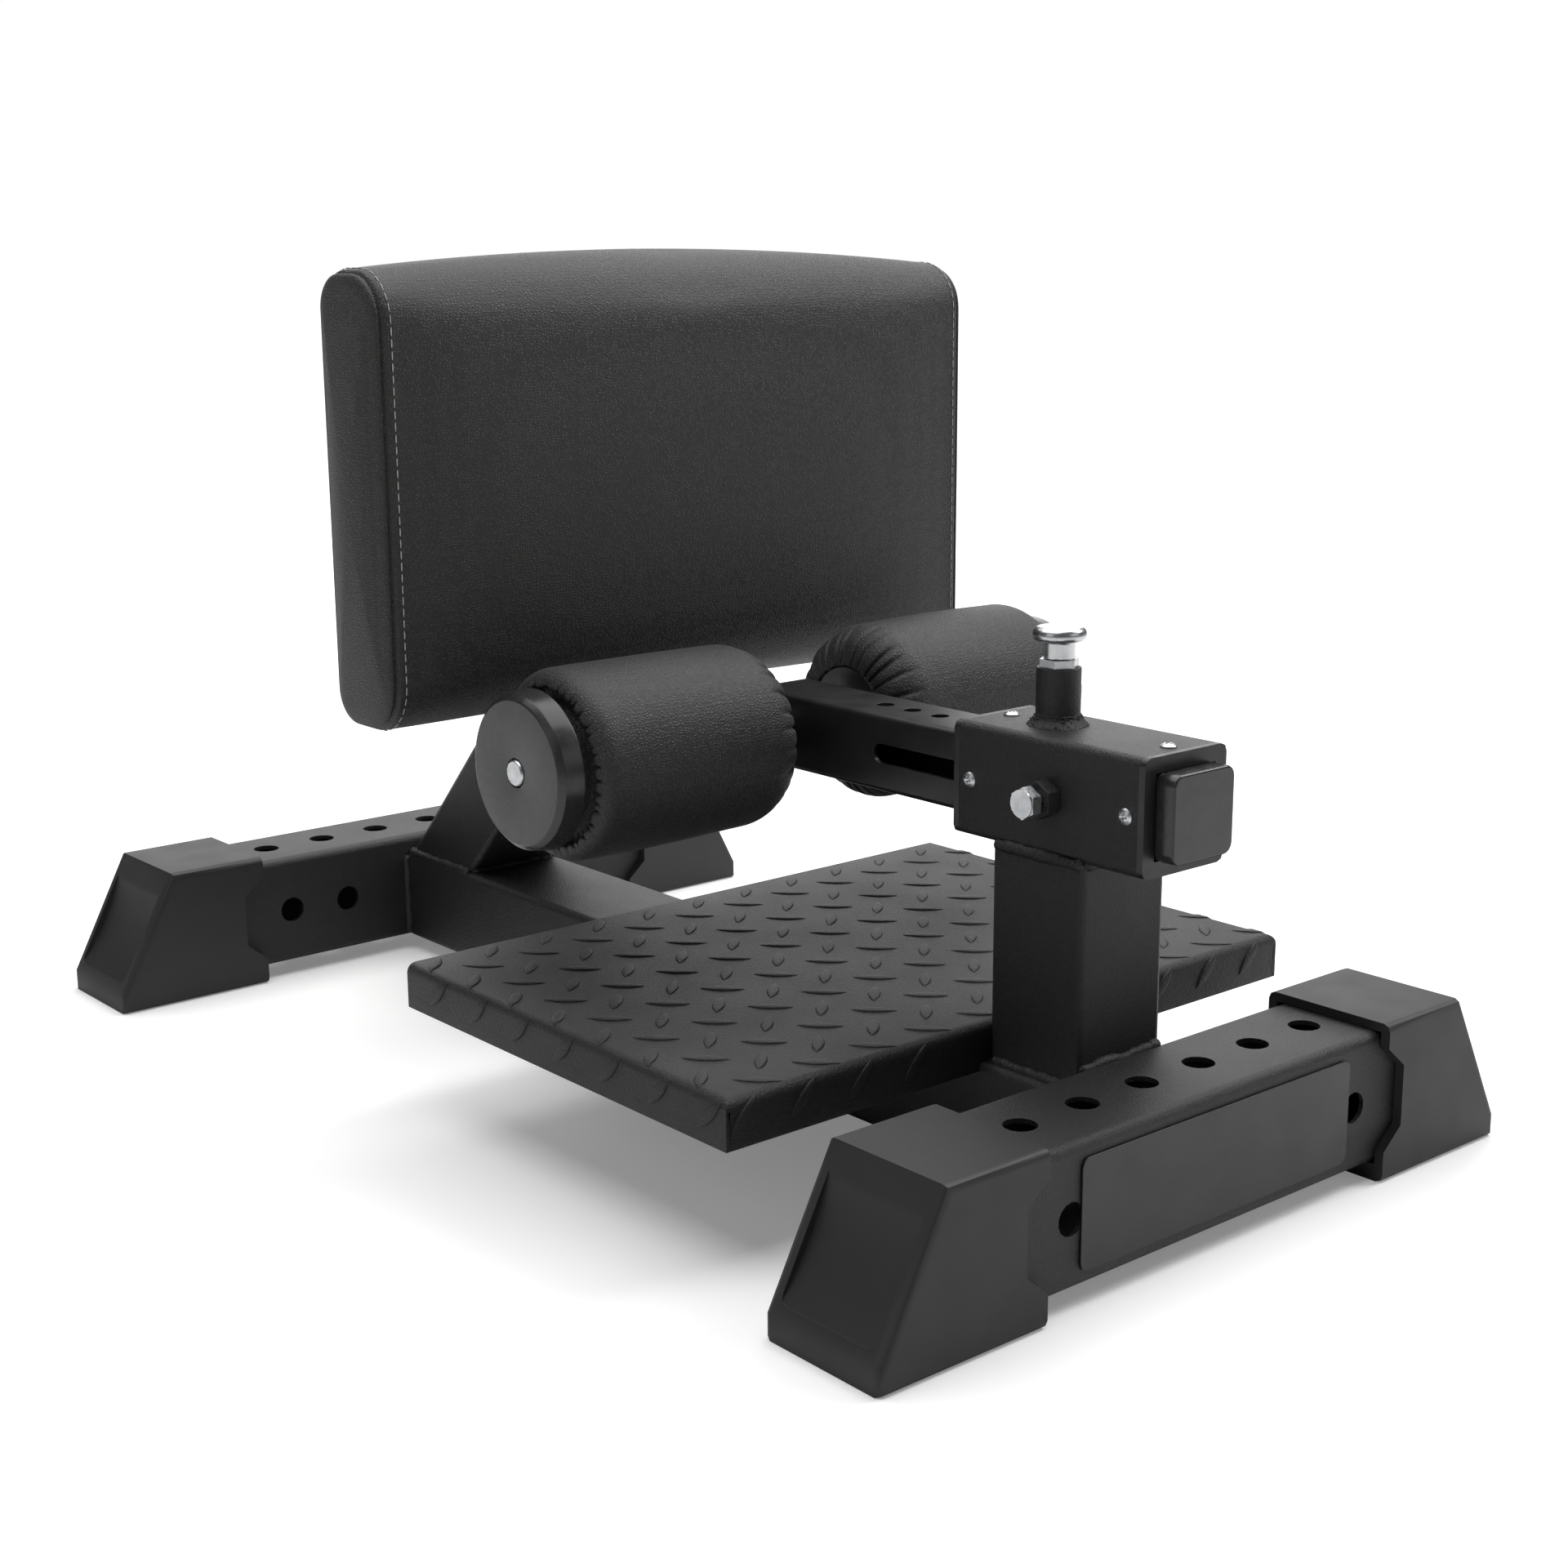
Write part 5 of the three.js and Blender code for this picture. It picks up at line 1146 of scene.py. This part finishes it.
def linerScrew(name):
    # Height H (1 - (r / R)^fall) over a rim, less the cross recess, whose depth falls off along its
    # arms; then the underside and the shank.
    low, high, middle = boxOf(name)
    axis = 2 if "_top_" in name else 0
    side = -1 if "_left_" in name else 1
    across = [k for k in range(3) if k != axis]
    radius = (high[across[0]] - low[across[0]]) / 2 / mm
    length = (high[axis] - low[axis]) / mm
    head = radius / 2
    slotRings = np.linspace(0, screws["slotReach"] * 1.1, screws["slotRings"])
    crownRings = np.linspace(screws["crownStart"], radius, screws["crownRings"])
    rings = np.concatenate([slotRings, crownRings])[:, None]
    angle = fullTurn(screws["sides"])[None, :]
    u, v = rings * np.cos(angle), rings * np.sin(angle)
    narrow, wide = np.minimum(np.abs(u), np.abs(v)), np.maximum(np.abs(u), np.abs(v))
    inSlot = np.clip((screws["slotHalf"] - narrow) / screws["slotWall"] + 0.5, 0, 1)
    deep = screws["slotDepth"] * np.clip(1.4 * (1 - wide / screws["slotReach"]), 0, 1) * inSlot
    crown = screws["rim"] + (head - screws["rim"]) * (1 - (rings / radius) ** screws["fall"]) - deep
    shank, tip = screws["shank"], head - length
    below = np.array([[radius, 0], [shank, 0], [shank, tip], [0, tip]])
    u = np.concatenate([u, below[:, :1] * np.cos(angle)])
    v = np.concatenate([v, below[:, :1] * np.sin(angle)])
    up = np.concatenate([crown, below[:, 1:] + 0 * angle])
    points = np.empty(u.shape + (3,))
    points[..., across[0]], points[..., across[1]] = u, v
    points[..., axis] = side * up
    # the seat of the head, where the shank starts
    base = middle.copy()
    outer = high[axis] if side > 0 else low[axis]
    base[axis] = outer - side * head * mm
    pieceName = "".join(word.capitalize() for word in name.split("_"))
    faces = gridFaces(len(u), angle.size, wrapColumns=True)
    piece = makePiece(pieceName, points * mm + base, faces, finishes["zinc_steel"], "base", [name])
    piece.data.set_sharp_from_angle(angle=np.radians(35))


for screwName in [name for name in nodes if name.startswith("liner_screw_")]:
    linerScrew(screwName)
print("liner screws")

# Weld beads, painted over with the frame

welds = {
    "radius": 3.9,
    "ripple": 0.025,
    "spacing": 3.6,
    "drift": 11,  # millimetres over which the spacing changes
    "step": 0.7,
    "wander": 0.35,
    "swell": 0.1,
    "grain": 0.05,
    "taper": 2.5,
    "thinnest": 0.02,  # share of the radius at a bead's very end
    "sides": 12,
    "sunk": 1.3,  # how far the beads under the sleeve lie inside the post
    # where a bead starts or stops short of its corner
    "foot": 3,
    "side": 2,
    "front": 1,
    "lowered": 1.5,
    "supportFoot": 88,  # length of the leaning tube's foot along the rail
}


def beadPoints(path, side, seed):
    # Radius R (1 + ripple * sin(2 pi s / spacing) + swell * wobble) + grain round each point of the
    # path, tapered at both ends. The wobble is a smoothed random line, and the path wanders with it.
    length = np.concatenate([[0], np.cumsum(np.linalg.norm(np.diff(path, axis=0), axis=1))])
    count = max(int(length[-1] / (welds["step"] * mm)), 8)
    even = np.linspace(0, length[-1], count)
    line = np.stack([np.interp(even, length, path[:, k]) for k in range(3)], -1)
    random = np.random.default_rng(seed)
    window = np.hanning(17)[1:-1] / 2.4
    wobble = np.convolve(random.normal(0, 1, count + len(window) - 1), window, "valid")[:, None]
    line = line + wobble * welds["wander"] * mm * side
    tangent = np.gradient(line, axis=0)
    tangent /= np.linalg.norm(tangent, axis=1, keepdims=True)
    across = np.cross(tangent, side)
    across /= np.linalg.norm(across, axis=1, keepdims=True)
    other = np.cross(across, tangent)
    phase = even / (welds["spacing"] * mm) + 0.25 * np.sin(even / (welds["drift"] * mm) + seed)
    fromEnd = np.minimum(even, even[-1] - even) / (welds["taper"] * mm)
    ends = np.clip(fromEnd, welds["thinnest"], 1) ** 0.5
    swell = 1 + welds["ripple"] * np.sin(2 * np.pi * phase) + welds["swell"] * wobble[:, 0]
    radius = (welds["radius"] * mm * swell * ends)[:, None, None]
    sides = welds["sides"]
    v = fullTurn(sides)[None, :, None]
    grain = random.normal(0, welds["grain"] * mm, (count, sides, 1))
    outward = np.cos(v) * across[:, None] + np.sin(v) * other[:, None]
    ring = line[:, None] + (radius + grain) * outward
    ring = np.concatenate([line[:1, None] + 0 * ring[:1], ring, line[-1:, None] + 0 * ring[-1:]])
    return ring.reshape(-1, 3), gridFaces(count + 2, sides, wrapColumns=True)


def beadAlong(axis, start, end, at):
    # A straight path along one axis at a place on the other two, and the direction that it faces:
    # upright and lengthwise beads face X, and beads across face Z.
    path = np.empty((2, 3))
    path[:, [k for k in range(3) if k != axis]] = at
    path[:, axis] = start, end
    return path * mm, (0, 0, 1) if axis == 0 else (1, 0, 0)


def weldPaths():
    # the lines where the rail meets both base tubes, the post the rail, the tube and the sleeve, and
    # the leaning tube the rail
    railLow, railHigh, _ = (v / mm for v in boxOf("main_rail"))
    postLow, postHigh, _ = (v / mm for v in boxOf("front_post"))
    _, tubeHigh, _ = (v / mm for v in boxOf("front_base_tube"))
    _, footHigh, _ = (v / mm for v in boxOf("support_tube"))
    sleeveLow, _, _ = (v / mm for v in boxOf("guide_sleeve"))
    railX, railZ, postX, footX = railHigh[0], railHigh[2], postHigh[0], footHigh[0]
    sleeveZ = sleeveLow[2]
    foot, short, front, sunk = (welds[k] for k in ("foot", "side", "front", "sunk"))
    paths = []
    for y in (railLow[1], railHigh[1]):
        for x in (-railX, railX):
            paths.append(beadAlong(2, railLow[2] + foot, railZ - short, (x, y)))
        paths.append(beadAlong(0, -railX + short, railX - short, (y, railZ)))
    postFront, postBack = postLow[1] + front, postHigh[1] - short
    for side in (-1, 1):
        paths.append(beadAlong(1, postFront, postBack, (side * postX, railZ)))
        paths.append(beadAlong(1, postFront, postBack, (side * (postX - sunk), sleeveZ)))
    lowered = tubeHigh[2] - welds["lowered"]
    paths.append(beadAlong(0, -postX + front, postX - front, (postLow[1], lowered)))
    for y in (postLow[1] + sunk, postHigh[1] - sunk):
        paths.append(beadAlong(0, -postX + short, postX - short, (y, sleeveZ)))
    footFront = footHigh[1] - welds["supportFoot"]
    for x in (-footX, footX):
        paths.append(beadAlong(1, footFront, footHigh[1] - short, (x, railZ)))
    paths.append(beadAlong(0, -footX + short, footX - short, (footFront, railZ)))
    return paths


def weldBeads():
    # all beads in one mesh, each with a seed of its own
    paths = weldPaths()
    points, faces, first = [], [], 0
    for seed, (path, side) in enumerate(paths):
        beadVertices, beadFaces = beadPoints(path, np.array(side, float), seed)
        points.append(beadVertices)
        faces.append(beadFaces + first)
        first += len(beadVertices)
    points, faces = np.concatenate(points), np.concatenate(faces)
    piece = makePiece("frameWelds", points, faces, finishes["powder_coat"], "base")
    print("weld beads:", len(paths))


weldBeads()

# The frame's own nodes that still show: points merged, broken edges in millimetres, soft shading

nodeShade = {"merge": 0.01, "flatAngle": 0.5, "edgeAngle": 50}
brokenEdges = {
    "boot_rubber": 0.8,
    "powder_coat": 0.5,
    "satin_black": 0.4,
    "grey_plastic": 0.5,
    "black_plastic": 0.4,
    "zinc_steel": 0.3,
    "plywood": 0.4,
}


def finishNode(name):
    # its finish, with its flat faces joined so that only true edges are broken
    node = nodes[name]
    slot = slotOf[name]
    node.material_slots[0].material = finishes[slot]
    node.data.polygons.foreach_set("use_smooth", np.ones(len(node.data.polygons), bool))
    addModifier(node, "weld", "WELD", merge_threshold=nodeShade["merge"] * mm)
    flatAngle = np.radians(nodeShade["flatAngle"])
    addModifier(node, "flatFaces", "DECIMATE", decimate_type="DISSOLVE", angle_limit=flatAngle)
    addModifier(
        node, "brokenEdges", "BEVEL", width=brokenEdges[slot] * mm, segments=2, limit_method="ANGLE",
        angle_limit=np.radians(nodeShade["edgeAngle"]), harden_normals=True)
    addModifier(node, "shading", "WEIGHTED_NORMAL", keep_sharp=True)


for nodeName, node in nodes.items():
    if not node.hide_render:
        finishNode(nodeName)
print("nodes finished")

# Floor

floorMesh = bpy.data.meshes.new("studioFloor")
reach = studio["floorSize"] / 2
floorCorners = [(-reach, -reach, 0), (reach, -reach, 0), (reach, reach, 0), (-reach, reach, 0)]
floorMesh.from_pydata(floorCorners, [], [(0, 1, 2, 3)])
floorMesh.materials.append(studioFloor())
floor = bpy.data.objects.new("studioFloor", floorMesh)
bpy.context.scene.collection.objects.link(floor)
print("floor")
